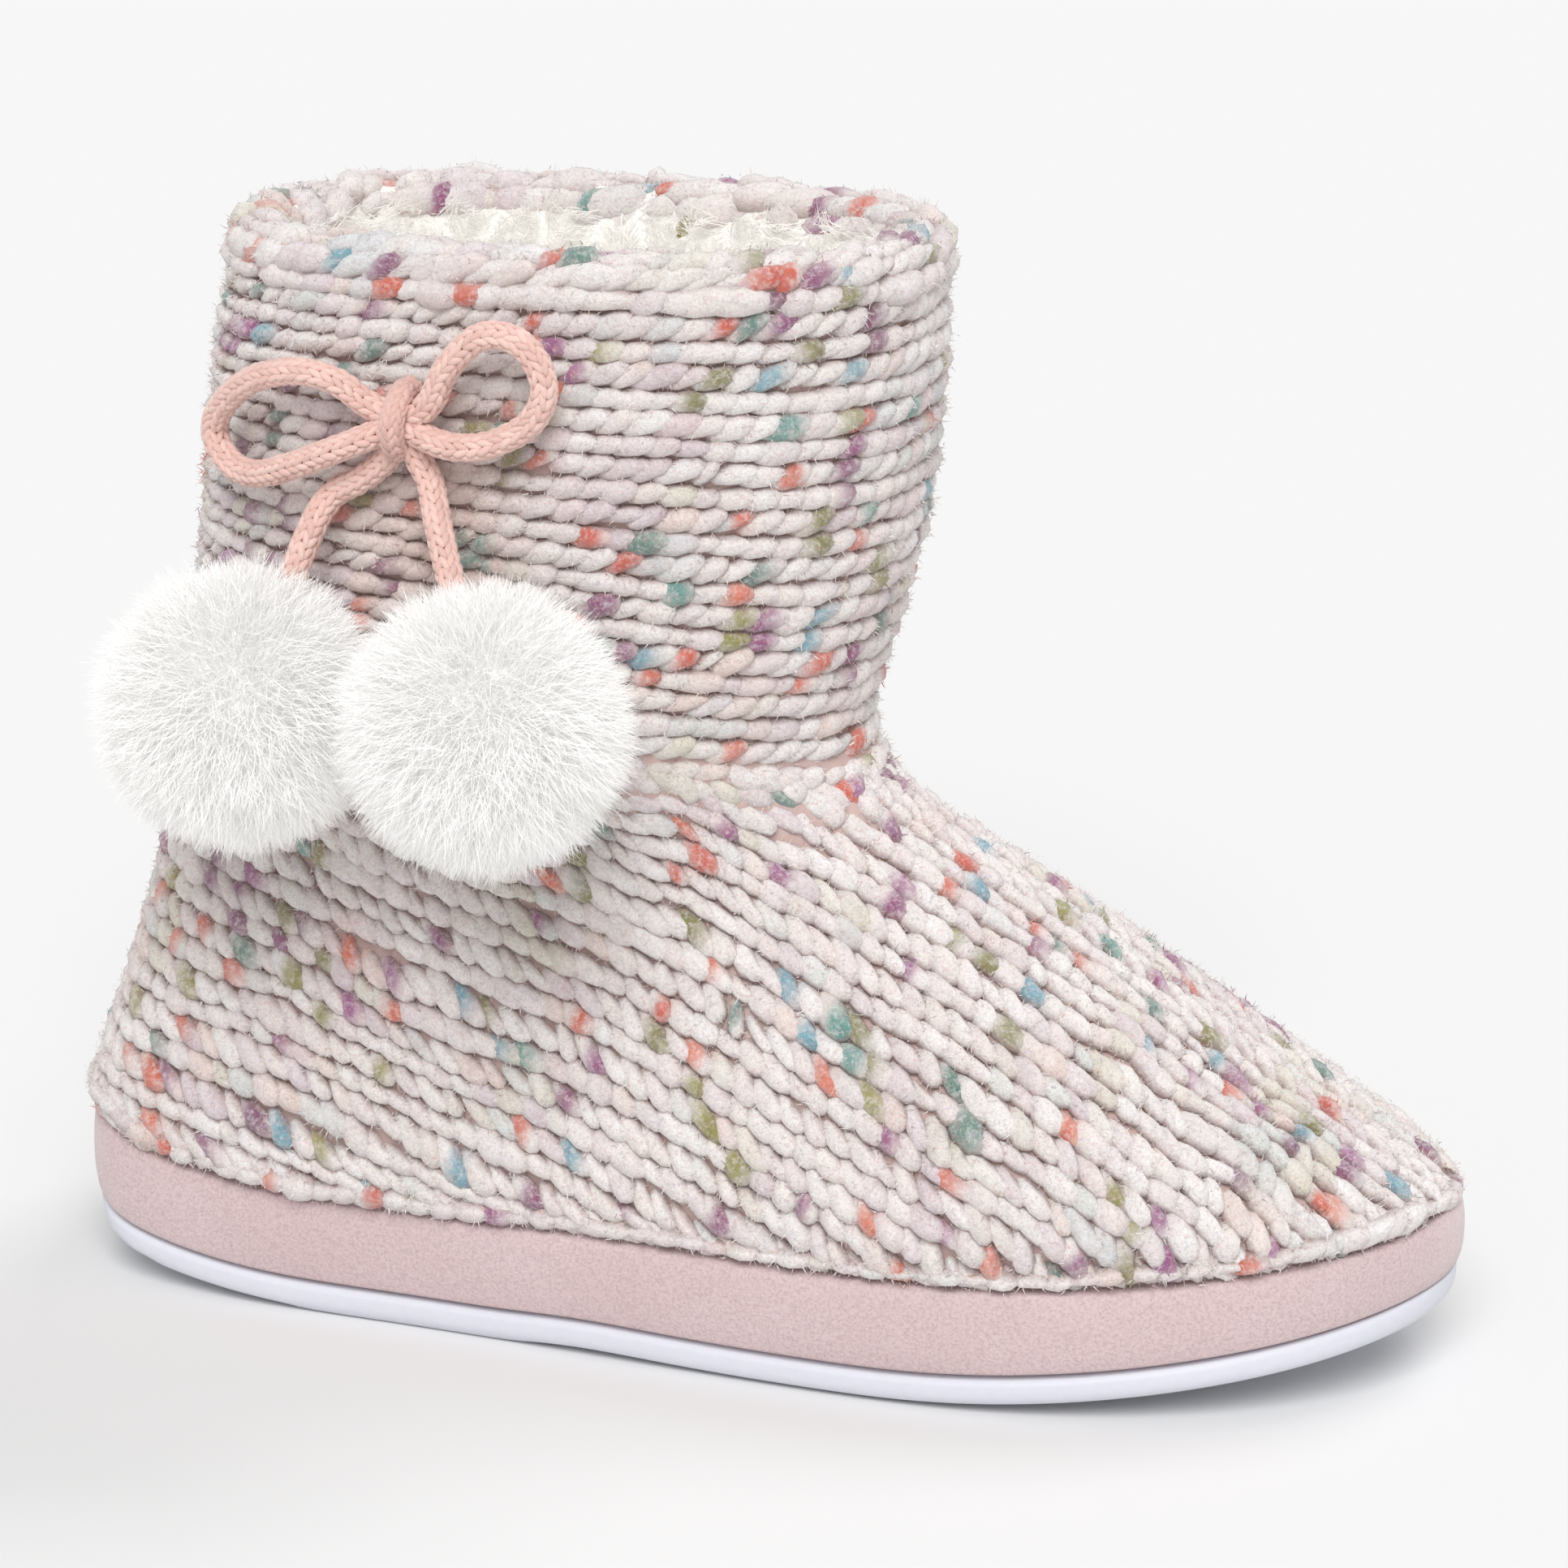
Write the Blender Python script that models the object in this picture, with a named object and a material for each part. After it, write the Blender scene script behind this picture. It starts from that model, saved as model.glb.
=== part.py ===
# Bootie slipper for the right foot: a knitted upper backed with fleece, on a wrapped foam platform and a thin
# rocker tread, with a cord bow and two pompoms on the outer side of the shaft.
# Frame: metres, +X to the toe, +Y to the inner side, +Z up. The origin is on the floor under the shoe's middle.
import math
from bisect import bisect_right
from collections import namedtuple

import bmesh
import bpy
from mathutils import Vector

# Driving dimensions
LENGTH = 0.253
BALL_WIDTH = 0.0965
INSTEP_HEIGHT = 0.098
SHAFT_WIDTH = 0.089
HEIGHT = 0.195

# Sole
TREAD_THICK = 0.0060
PLATFORM_THICK = 0.0156
INSOLE_THICK = 0.0045
HEEL_SPRING = 0.0106
TOE_SPRING = 0.0125
ARCH_RISE = 0.0010
HEEL_LIFT = 1.05  # the platform's top follows these shares of the rocker's two ends
TOE_LIFT = 0.65
HEEL_SPOT = (0.250, 0.365)  # stations between which the tread is flat on the floor
BALL_SPOT = (0.500, 0.640)
HEEL_CURVE = 2.5  # powers of the two ends' curves
TOE_CURVE = 1.6
TREAD_ROUND = 0.0026  # how far the tread's side turns in at the floor
BAND_TUCK = 0.0012  # how far the platform's side turns in at its two edges

# Upper
WALL = 0.0050
COLLAR_WALL = 0.0100
COLLAR_DEPTH = 0.0130
COLLAR_GROOVE = 0.0009  # the turned collar's lower edge is drawn in this far
GROOVE_RISE = 0.72  # that edge and the inner face's top lie at these shares of COLLAR_DEPTH below the rim
LINING_RISE = 0.90
EDGE_TUCK = 0.0016  # the upper's lower edge lies this far inside the platform's outline
EDGE_TUCK_REACH = 0.0030  # height over which the knit swells out past that edge
SEAM_GROOVE = 0.0012  # depth of the upright seam at the back of the heel
THROAT_BLEND = 0.16  # how softly foot and shaft join, as a share of their two widths
VAMP_DOME = 2.1  # power of the vamp's cross section: 2 is round, more is squarer
VAMP_BULGE = 0.05
VAMP_BULGE_TOP = 0.6  # share of the vamp's height where its bulge ends
INNER_STEP = 0.0004  # least rise from one ring of the inner face to the next
INSOLE_CLEAR = 0.0016
INSOLE_TOE_CLEAR = 0.0065

# Bow and pompoms
CORD = 0.0050
KNOT = (0.0054, 0.0038, 0.0060)
KNOT_STATION = 0.3045
KNOT_HEIGHT = 0.1662
POMPOM_CORE = 0.0195
POMPOM_REACH = 0.0238
LOCK_SPREAD = 0.0016
ENTRY_ANGLE = math.radians(24)

GAP = 0.0003

# How finely the pieces are cut
STATIONS = 27
LEVELS = 22
BEND_POINTS = 5

# The sole's outline. Stations run from heel to toe as shares of LENGTH, widths are shares of BALL_WIDTH, and
# the centre line bows to the outer side at the waist and to the inner side at the toe.
SoleRow = namedtuple("SoleRow", "station half_width centre")
SOLE = (
    SoleRow(0.000, 0.000, 0.015),
    SoleRow(0.030, 0.305, 0.001),
    SoleRow(0.120, 0.388, 0.001),
    SoleRow(0.300, 0.400, -0.015),
    SoleRow(0.500, 0.438, -0.027),
    SoleRow(0.690, 0.492, 0.000),
    SoleRow(0.820, 0.450, 0.011),
    SoleRow(0.930, 0.322, 0.027),
    SoleRow(1.000, 0.000, 0.045),
)

# The ridge of the vamp, as a share of the instep's height over the platform.
RidgeRow = namedtuple("RidgeRow", "station height")
RIDGE = (
    RidgeRow(1.000, 0.000),
    RidgeRow(0.985, 0.075),
    RidgeRow(0.946, 0.165),
    RidgeRow(0.881, 0.320),
    RidgeRow(0.792, 0.560),
    RidgeRow(0.694, 0.790),
    RidgeRow(0.565, 1.000),
    RidgeRow(0.437, 1.110),
    RidgeRow(0.000, 1.110),
)

# The shaft and the heel below it, as ovals. Heights are shares of HEIGHT, back and front are stations, and the
# half width is a share of BALL_WIDTH plus a share of SHAFT_WIDTH. A square of 2 is an ellipse.
ShaftRow = namedtuple("ShaftRow", "height back front of_ball of_shaft square")
SHAFT = (
    ShaftRow(0.10, 0.003, 0.506, 0.370, 0.00, 2.3),
    ShaftRow(0.16, -0.004, 0.506, 0.395, 0.00, 2.3),
    ShaftRow(0.235, 0.017, 0.514, 0.350, 0.05, 2.3),
    ShaftRow(0.31, 0.038, 0.531, 0.260, 0.15, 2.2),
    ShaftRow(0.40, 0.054, 0.548, 0.170, 0.25, 2.2),
    ShaftRow(0.54, 0.075, 0.567, 0.080, 0.37, 2.2),
    ShaftRow(0.68, 0.088, 0.600, 0.030, 0.44, 2.3),
    ShaftRow(0.84, 0.105, 0.617, 0.000, 0.49, 2.5),
    ShaftRow(1.00, 0.124, 0.620, 0.000, 0.50, 2.6),
)

# Soft hollows in the knit: where each lies, how far it spreads and how deep it is, as shares of LENGTH, HEIGHT,
# LENGTH, HEIGHT and WALL. Side is -1 on the outer side and 1 on the inner side.
Hollow = namedtuple("Hollow", "side station height along up depth")
HOLLOWS = (
    Hollow(-1, 0.306, 0.87, 0.034, 0.13, 0.45),
    Hollow(-1, 0.367, 0.64, 0.085, 0.07, 0.55),
    Hollow(-1, 0.526, 0.53, 0.070, 0.04, 0.50),
    Hollow(1, 0.506, 0.53, 0.080, 0.04, 0.50),
    Hollow(1, 0.338, 0.66, 0.090, 0.08, 0.50),
)

# The bow's cords. Each point is its distance toward the toe and up from the knot, and how far the cord's middle
# lies off the knit. The tails end at their pompoms.
CordPoint = namedtuple("CordPoint", "ahead up off")
REAR_LOOP = (
    CordPoint(-0.0057, 0.0024, 0.0052),
    CordPoint(-0.0110, 0.0062, 0.0062),
    CordPoint(-0.0182, 0.0074, 0.0070),
    CordPoint(-0.0279, 0.0048, 0.0074),
    CordPoint(-0.0358, -0.0012, 0.0072),
    CordPoint(-0.0382, -0.0067, 0.0066),
    CordPoint(-0.0345, -0.0110, 0.0060),
    CordPoint(-0.0284, -0.0119, 0.0060),
    CordPoint(-0.0197, -0.0090, 0.0068),
    CordPoint(-0.0118, -0.0056, 0.0074),
    CordPoint(-0.0064, -0.0033, 0.0068),
)
FRONT_LOOP = (
    CordPoint(0.0056, 0.0033, 0.0056),
    CordPoint(0.0096, 0.0100, 0.0062),
    CordPoint(0.0158, 0.0158, 0.0070),
    CordPoint(0.0217, 0.0162, 0.0072),
    CordPoint(0.0258, 0.0125, 0.0068),
    CordPoint(0.0269, 0.0067, 0.0060),
    CordPoint(0.0236, 0.0012, 0.0052),
    CordPoint(0.0172, -0.0024, 0.0050),
    CordPoint(0.0112, -0.0034, 0.0056),
    CordPoint(0.0064, -0.0027, 0.0060),
)
REAR_TAIL = (
    CordPoint(-0.0032, -0.0069, 0.0032),
    CordPoint(-0.0079, -0.0108, 0.0031),
    CordPoint(-0.0136, -0.0142, 0.0038),
    CordPoint(-0.0160, -0.0196, 0.0080),
)
FRONT_TAIL = (
    CordPoint(0.0028, -0.0070, 0.0032),
    CordPoint(0.0050, -0.0108, 0.0038),
    CordPoint(0.0082, -0.0172, 0.0080),
)
Pompom = namedtuple("Pompom", "name ahead up off seed")
POMPOMS = (
    Pompom("pompom_rear", -0.0233, -0.0473, 0.0000, 3),
    Pompom("pompom_front", 0.0229, -0.0460, 0.0045, 8),
)

THROAT_ZONE = (0.45, 0.30, 0.68)  # smoothed ahead of this station, between these shares of HEIGHT
THROAT_ROUNDS = 3

UPPER_BASE = TREAD_THICK + PLATFORM_THICK + 3 * GAP
LIFT_FADE = 6  # how fast the rings turn level above the sole
RING_SPACING = 1.35  # more than 1 puts the rings closer together low down
COLLAR_TURNS = 6
SHARP = math.radians(40)


def through(value, keys, values):
    """A smooth curve through a table's rows: cubic pieces that take each row's slope from its neighbours."""
    last = len(keys) - 1
    i = max(0, min(last - 1, bisect_right(keys, value) - 1))

    def slope(j):
        a, b = max(j - 1, 0), min(j + 1, last)
        return (values[b] - values[a]) / (keys[b] - keys[a])

    span = keys[i + 1] - keys[i]
    t = max(0.0, min(1.0, (value - keys[i]) / span))
    rise = values[i + 1] - values[i]
    ease = t * t * (3 - 2 * t)
    start = slope(i) * span * t * (1 - t) ** 2
    end = slope(i + 1) * span * t * t * (1 - t)
    return values[i] + rise * ease + start - end


def station_of(x):
    return x / LENGTH + 0.5


def x_of(station):
    return (station - 0.5) * LENGTH


def angle_of(station):
    """Runs from 0 at the heel to pi at the toe, so a width read over it ends round."""
    return math.acos(1 - 2 * max(0.0, min(1.0, station)))


SOLE_ANGLES = [angle_of(row.station) for row in SOLE]


def sole_half_width(station):
    return BALL_WIDTH * through(angle_of(station), SOLE_ANGLES, [row.half_width for row in SOLE])


def sole_centre(station):
    return BALL_WIDTH * through(angle_of(station), SOLE_ANGLES, [row.centre for row in SOLE])


def rocker(x):
    """Height of the tread's underside: sprung at heel and toe, flat at two spots, with a low arch between."""
    s = station_of(x)
    if s < HEEL_SPOT[0]:
        return HEEL_SPRING * ((HEEL_SPOT[0] - s) / HEEL_SPOT[0]) ** HEEL_CURVE
    if s > BALL_SPOT[1]:
        return TOE_SPRING * ((s - BALL_SPOT[1]) / (1 - BALL_SPOT[1])) ** TOE_CURVE
    if HEEL_SPOT[1] < s < BALL_SPOT[0]:
        share = (s - HEEL_SPOT[1]) / (BALL_SPOT[0] - HEEL_SPOT[1])
        return ARCH_RISE * math.sin(math.pi * share) ** 2
    return 0.0


def lift(x):
    """How far the platform's top rises with the rocker."""
    return rocker(x) * (HEEL_LIFT if station_of(x) < HEEL_SPOT[1] else TOE_LIFT)


def base_height(x):
    """Height of the upper's lower edge."""
    return UPPER_BASE + lift(x)


RIDGE_KEYS = [math.sqrt(1 - row.station) for row in RIDGE]


def ridge_height(x):
    share = through(math.sqrt(max(0.0, 1 - station_of(x))), RIDGE_KEYS, [row.height for row in RIDGE])
    return base_height(x) + share * (INSTEP_HEIGHT - UPPER_BASE)


def shaft(column, z):
    return through(z / HEIGHT, [row.height for row in SHAFT], [getattr(row, column) for row in SHAFT])


def foot_half_width(x, z):
    """The foot's part of the upper: the sole's outline, drawn in with the heel and domed up to the vamp's ridge."""
    rise = ridge_height(x) - base_height(x)
    up = (z - base_height(x)) / rise if rise > 0 else 1.0
    if up >= 1:
        return 0.0
    back = x_of(shaft("back", z))
    dome = 1 - max(0.0, up) ** VAMP_DOME
    bulge = 1 + VAMP_BULGE * math.sin(math.pi * min(1.0, max(0.0, up) / VAMP_BULGE_TOP))
    return sole_half_width((x - back) / (x_of(1) - back)) * math.sqrt(dome) * bulge


def shaft_half_width(x, z):
    """The shaft's part of the upper, with the heel that it stands on."""
    back, front = x_of(shaft("back", z)), x_of(shaft("front", z))
    square = shaft("square", z)
    out = abs(2 * (x - back) / (front - back) - 1)
    if out >= 1:
        return 0.0
    width = BALL_WIDTH * shaft("of_ball", z) + SHAFT_WIDTH * shaft("of_shaft", z)
    return width * (1 - out ** square) ** (1 / square)


def upper_half_width(x, z):
    """Foot and shaft joined with a soft fold at the throat."""
    foot, leg = foot_half_width(x, z), shaft_half_width(x, z)
    if foot + leg == 0:
        return 0.0
    blend = THROAT_BLEND * (foot + leg)
    near = max(0.0, 1 - abs(foot - leg) / blend)
    return max(foot, leg) + near * near * blend / 4


def upper_centre(x, z):
    return sole_centre(station_of(x)) * (1 - z / HEIGHT)


def hollow_depth(side, x, z):
    """How far the hollows draw the knit in at a place on one side."""
    depth = 0.0
    for row in HOLLOWS:
        if row.side == side:
            along = (station_of(x) - row.station) / row.along
            up = (z / HEIGHT - row.height) / row.up
            depth += row.depth * WALL * math.exp(-along * along - up * up)
    return depth


def upper_side(side, x, z, along):
    """Y of the knit on one side, with its hollows, which fade toward the ring's two ends."""
    depth = hollow_depth(side, x, z) * math.sin(angle_of(along))
    return upper_centre(x, z) + side * max(0.0, upper_half_width(x, z) - depth)


def level_height(x, share):
    """Height of one ring of the upper: it follows the sole's lift low down and is level at the collar."""
    return UPPER_BASE + share * (HEIGHT - UPPER_BASE) + lift(x) * (1 - share) ** LIFT_FADE


def front_end(share):
    """Where a ring's foremost point lies: on the ridge of the vamp, or on the front of the shaft above it."""
    z_shaft = level_height(0.0, share)
    low, high = x_of(shaft("front", z_shaft)), x_of(1.0)
    if ridge_height(low) <= level_height(low, share):
        return low
    for _ in range(40):
        middle = (low + high) / 2
        if ridge_height(middle) > level_height(middle, share):
            low = middle
        else:
            high = middle
    return low


def back_end(share):
    x = x_of(0.0)
    return x_of(shaft("back", level_height(x, share)))


def spread(index):
    """Stations along a ring, close together at its round ends."""
    return (1 - math.cos(math.pi * index / STATIONS)) / 2


def closed_ring(back, front, place):
    """One ring: out along the outer side from heel to toe and back along the inner side."""
    outer = [place(back + spread(i) * (front - back), -1) for i in range(STATIONS)]
    inner = [place(back + spread(i) * (front - back), 1) for i in range(STATIONS, 0, -1)]
    return outer + inner


def sole_ring(inset, height, toe_clear=0.0):
    """The sole's outline, drawn in by one margin all round, at the height that a function gives."""
    shrink = 1 - 2 * inset / BALL_WIDTH
    back, front = x_of(0) + inset, x_of(1) - inset - toe_clear

    def place(x, side):
        s = (x - back) / (front - back)
        return Vector((x, sole_centre(s) + side * sole_half_width(s) * shrink, height(x)))

    return closed_ring(back, front, place)


def outward(ring):
    """Level normals of a ring."""
    normals = []
    for i, point in enumerate(ring):
        along = ring[(i + 1) % len(ring)] - ring[i - 1]
        normals.append(Vector((along.y, -along.x, 0)).normalized())
    return normals


def upper_ring(share):
    """The upper's outer face on one ring."""
    back, front = back_end(share), front_end(share)

    def place(x, side):
        z = level_height(x, share)
        return Vector((x, upper_side(side, x, z, (x - back) / (front - back)), z))

    ring = closed_ring(back, front, place)
    tuck = EDGE_TUCK * math.exp(-share * (HEIGHT - UPPER_BASE) / EDGE_TUCK_REACH)
    seam = SEAM_GROOVE * (share < 1 - COLLAR_DEPTH / (HEIGHT - UPPER_BASE))
    moved = [p - n * tuck for p, n in zip(ring, outward(ring))]
    moved[0].x += seam
    return moved


def soften(rings):
    """Round the fold at the throat: points near it move toward the middle of their neighbours."""
    for _ in range(THROAT_ROUNDS):
        before = [[p.copy() for p in ring] for ring in rings]
        for k in range(1, len(rings) - 1):
            for i, p in enumerate(rings[k]):
                near_throat = station_of(p.x) > THROAT_ZONE[0] and THROAT_ZONE[1] < p.z / HEIGHT < THROAT_ZONE[2]
                if near_throat:
                    row = before[k]
                    around = row[i - 1] + row[(i + 1) % len(row)] + before[k - 1][i] + before[k + 1][i]
                    rings[k][i] = p.lerp(around / 4, 0.5)


def inset_ring(ring, inset, z):
    return [Vector((*(p - n * inset).xy, z)) for p, n in zip(ring, outward(ring))]


def wall_normals(rings):
    """Normals of the upper's outer face, from the rings above and below and the points to each side."""
    rows = []
    for k, ring in enumerate(rings):
        below, above = rings[max(k - 1, 0)], rings[min(k + 1, len(rings) - 1)]
        row = []
        for i, _ in enumerate(ring):
            along = ring[(i + 1) % len(ring)] - ring[i - 1]
            row.append(along.cross(above[i] - below[i]).normalized())
        rows.append(row)
    return rows


def material(name, colour, roughness):
    made = bpy.data.materials.new(name)
    made.use_nodes = True
    shader = made.node_tree.nodes["Principled BSDF"]
    shader.inputs["Base Color"].default_value = (*colour, 1)
    shader.inputs["Roughness"].default_value = roughness
    shader.inputs["Metallic"].default_value = 0
    return made


def add_object(name, mesh, finish):
    mesh.materials.append(finish)
    made = bpy.data.objects.new(name, mesh)
    bpy.context.collection.objects.link(made)
    return made


def ring_mesh(name, rings, capped):
    """Skin over a stack of rings. Capped, both ends are closed across; otherwise the last ring joins the first."""
    bm = bmesh.new()
    rows = [[bm.verts.new(point) for point in ring] for ring in rings]
    pairs = list(zip(rows, rows[1:])) if capped else list(zip(rows, rows[1:] + rows[:1]))
    count = len(rows[0])
    for low, high in pairs:
        for i in range(count):
            j = (i + 1) % count
            bm.faces.new((low[i], low[j], high[j], high[i]))
    if capped:
        for row in (rows[0], rows[-1]):
            for i in range(STATIONS):
                across = [row[i], row[i + 1], row[(count - i - 1) % count], row[-i % count]]
                bm.faces.new(list(dict.fromkeys(across)))
    bmesh.ops.recalc_face_normals(bm, faces=bm.faces)
    mesh = bpy.data.meshes.new(name)
    bm.to_mesh(mesh)
    bm.free()
    mesh.shade_smooth()
    mesh.set_sharp_from_angle(angle=SHARP)
    return mesh


def tread_top(x):
    return TREAD_THICK + rocker(x)


def build_tread():
    """Thin outsole: flat on its two spots, its side rounded in toward the floor."""
    profile = ((1.00, 0.00), (0.38, 0.16), (0.00, 0.42), (0.00, 1.00))
    rings = [sole_ring(BAND_TUCK + inset * TREAD_ROUND, lambda x, up=up: rocker(x) + up * TREAD_THICK)
             for inset, up in profile]
    add_object("outsole", ring_mesh("outsole", rings, True), material("pale rubber", (0.86, 0.87, 0.92), 0.5))


def build_platform():
    """Foam platform wrapped in a suede-like band, its side a little bulged."""
    def side(up):
        return lambda x: (1 - up) * (tread_top(x) + GAP) + up * (base_height(x) - GAP)

    profile = ((1.0, 0.0), (0.3, 0.12), (0.0, 0.45), (0.25, 0.85), (1.0, 1.0))
    rings = [sole_ring(inset * BAND_TUCK, side(up)) for inset, up in profile]
    add_object("platform", ring_mesh("platform", rings, True), material("pink suede", (0.80, 0.52, 0.50), 0.9))


def upper_shares():
    """Heights of the rings below the collar, closer together near the sole where the toe turns over."""
    top = 1 - COLLAR_DEPTH / (HEIGHT - UPPER_BASE)
    return [top * (k / LEVELS) ** RING_SPACING for k in range(LEVELS + 1)]


def build_upper():
    """Hollow knit upper: its outer face, the turned collar and the inner face, open above and underneath."""
    outer = [upper_ring(share) for share in upper_shares()]
    soften(outer)
    normals = wall_normals(outer)
    inner = []
    for k, (ring, row) in enumerate(zip(outer, normals)):
        inside = [p - n * WALL for p, n in zip(ring, row)]
        for p, q in zip(inside, ring):
            floor = base_height(p.x) + INNER_STEP * k
            p.z = base_height(p.x) if k == 0 else max(p.z, floor)
        inner.append(inside)
    for p in outer[0]:
        p.z = base_height(p.x)
    rim = upper_ring(1.0)
    roll = COLLAR_WALL / 2
    collar = [inset_ring(rim, COLLAR_GROOVE, HEIGHT - GROOVE_RISE * COLLAR_DEPTH)]
    for i in range(COLLAR_TURNS + 1):
        angle = math.pi * i / COLLAR_TURNS
        collar.append(inset_ring(rim, roll * (1 - math.cos(angle)), HEIGHT - roll * (1 - math.sin(angle))))
    collar.append(inset_ring(rim, COLLAR_WALL, HEIGHT - LINING_RISE * COLLAR_DEPTH))
    rings = outer + collar + inner[::-1]
    add_object("upper", ring_mesh("upper", rings, False), material("speckled knit", (0.86, 0.80, 0.78), 0.95))


def build_insole():
    """Fleece footbed, inside the upper's lower edge."""
    inset = EDGE_TUCK + WALL + INSOLE_CLEAR
    rings = [sole_ring(inset + up * INSOLE_CLEAR, lambda x, up=up: base_height(x) + up * INSOLE_THICK,
                       INSOLE_TOE_CLEAR) for up in (0, 1)]
    add_object("insole", ring_mesh("insole", rings, True), material("white fleece", (0.92, 0.92, 0.90), 1.0))


def knit_face(x, z):
    """Y of the upper's outer side at a place."""
    back, front = x_of(shaft("back", z)), x_of(shaft("front", z))
    return upper_side(-1, x, z, (x - back) / (front - back))


def bow_place(point):
    """A cord point in the shoe's frame, held off the knit by the distance that its row gives."""
    x = x_of(KNOT_STATION) + point.ahead
    z = KNOT_HEIGHT + point.up
    return Vector((x, knit_face(x, z) - point.off, z))


def pompom_place(row):
    """Where a pompom's middle lies when it touches the knit, or hangs off it by the distance in its row."""
    x = x_of(KNOT_STATION) + row.ahead
    z = KNOT_HEIGHT + row.up
    touching = []
    for out in (0.0, 0.35, 0.7, 0.9):
        for turn in range(8):
            dx = out * POMPOM_REACH * math.cos(math.pi * turn / 4)
            dz = out * POMPOM_REACH * math.sin(math.pi * turn / 4)
            touching.append(knit_face(x + dx, z + dz) - POMPOM_REACH * math.sqrt(1 - out * out))
    return Vector((x, min(touching) - 2 * GAP - row.off, z))


def smooth_run(points):
    """Points read from a smooth curve through a cord's own points."""
    run = []
    last = len(points) - 1
    for i in range(last):
        before, here, there, after = (points[max(0, min(last, i + k))] for k in (-1, 0, 1, 2))
        for step in range(BEND_POINTS):
            t = step / BEND_POINTS
            run.append(0.5 * (2 * here + (there - before) * t
                              + (2 * before - 5 * here + 4 * there - after) * t * t
                              + (3 * here - before - 3 * there + after) * t ** 3))
    return run + [points[last]]


def build_cord(name, points, finish):
    curve = bpy.data.curves.new(name, "CURVE")
    curve.dimensions = "3D"
    curve.bevel_depth = CORD / 2
    curve.bevel_resolution = 2
    curve.use_fill_caps = True
    run = smooth_run(points)
    spline = curve.splines.new("POLY")
    spline.points.add(len(run) - 1)
    for slot, point in zip(spline.points, run):
        slot.co = (*point, 1)
    add_object(name, curve, finish)


def build_pompom(row, entry, finish):
    """A round core with a short lock of fur raised on each second face, and none where its cord goes in."""
    bm = bmesh.new()
    bmesh.ops.create_icosphere(bm, subdivisions=3, radius=POMPOM_CORE)
    tufted = [face for face in list(bm.faces)[::2] if face.calc_center_median().angle(entry) > ENTRY_ANGLE]
    locks = bmesh.ops.poke(bm, faces=tufted)["verts"]
    for i, lock in enumerate(locks):
        wave = 0.5 + 0.5 * math.sin(row.seed + 2.4 * i)
        lock.co = lock.co.normalized() * (POMPOM_REACH - LOCK_SPREAD * wave)
    bmesh.ops.translate(bm, verts=bm.verts, vec=pompom_place(row))
    mesh = bpy.data.meshes.new(row.name)
    bm.to_mesh(mesh)
    bm.free()
    add_object(row.name, mesh, finish)


def build_bow():
    cord_finish = material("dusty pink cord", (0.74, 0.42, 0.40), 0.9)
    fur_finish = material("white fur", (0.95, 0.95, 0.95), 1.0)
    knot_place = bow_place(CordPoint(0, 0, KNOT[1] + 2 * GAP))
    bm = bmesh.new()
    bmesh.ops.create_uvsphere(bm, u_segments=14, v_segments=8, radius=1)
    bmesh.ops.scale(bm, verts=bm.verts, vec=KNOT)
    bmesh.ops.translate(bm, verts=bm.verts, vec=knot_place)
    knot = bpy.data.meshes.new("bow_knot")
    bm.to_mesh(knot)
    bm.free()
    add_object("bow_knot", knot, cord_finish)
    for name, rows in (("bow_loop_rear", REAR_LOOP), ("bow_loop_front", FRONT_LOOP)):
        build_cord(name, [bow_place(row) for row in rows], cord_finish)
    for name, rows, row in (("bow_tail_rear", REAR_TAIL, POMPOMS[0]), ("bow_tail_front", FRONT_TAIL, POMPOMS[1])):
        points = [bow_place(point) for point in rows]
        centre = pompom_place(row)
        entry = (points[-1] - centre).normalized()
        build_cord(name, points + [centre + entry * (POMPOM_CORE + GAP)], cord_finish)
        build_pompom(row, entry, fur_finish)


def clear_scene():
    for old in list(bpy.data.objects):
        bpy.data.objects.remove(old, do_unlink=True)


clear_scene()
build_tread()
build_platform()
build_insole()
build_upper()
build_bow()
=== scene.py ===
# Bootie slipper for the right foot, dressed: the knit in real stitches, a fleece lining, a suede-cloth band,
# a pale foam tread, and a knitted cord bow with two fur pompoms on the outer side.
# Frame: metres, +X to the toe, +Y to the inner side of the foot, +Z up.
import math

import bpy
import numpy as np
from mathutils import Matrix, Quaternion, Vector, noise


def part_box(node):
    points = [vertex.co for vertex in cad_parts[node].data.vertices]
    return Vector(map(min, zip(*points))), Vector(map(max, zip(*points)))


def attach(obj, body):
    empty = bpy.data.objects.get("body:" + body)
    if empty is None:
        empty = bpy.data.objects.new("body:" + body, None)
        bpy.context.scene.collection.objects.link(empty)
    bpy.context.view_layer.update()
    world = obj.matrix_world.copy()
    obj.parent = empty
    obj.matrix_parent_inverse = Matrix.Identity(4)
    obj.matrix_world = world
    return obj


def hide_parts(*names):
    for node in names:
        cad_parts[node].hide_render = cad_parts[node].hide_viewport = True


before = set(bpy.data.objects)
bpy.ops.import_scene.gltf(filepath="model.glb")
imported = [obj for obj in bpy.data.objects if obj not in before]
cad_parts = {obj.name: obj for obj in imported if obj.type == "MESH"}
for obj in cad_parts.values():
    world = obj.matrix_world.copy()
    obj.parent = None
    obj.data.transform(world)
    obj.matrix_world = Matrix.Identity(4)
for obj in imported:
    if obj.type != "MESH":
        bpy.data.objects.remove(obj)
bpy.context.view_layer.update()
rng = np.random.default_rng(7)


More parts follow.
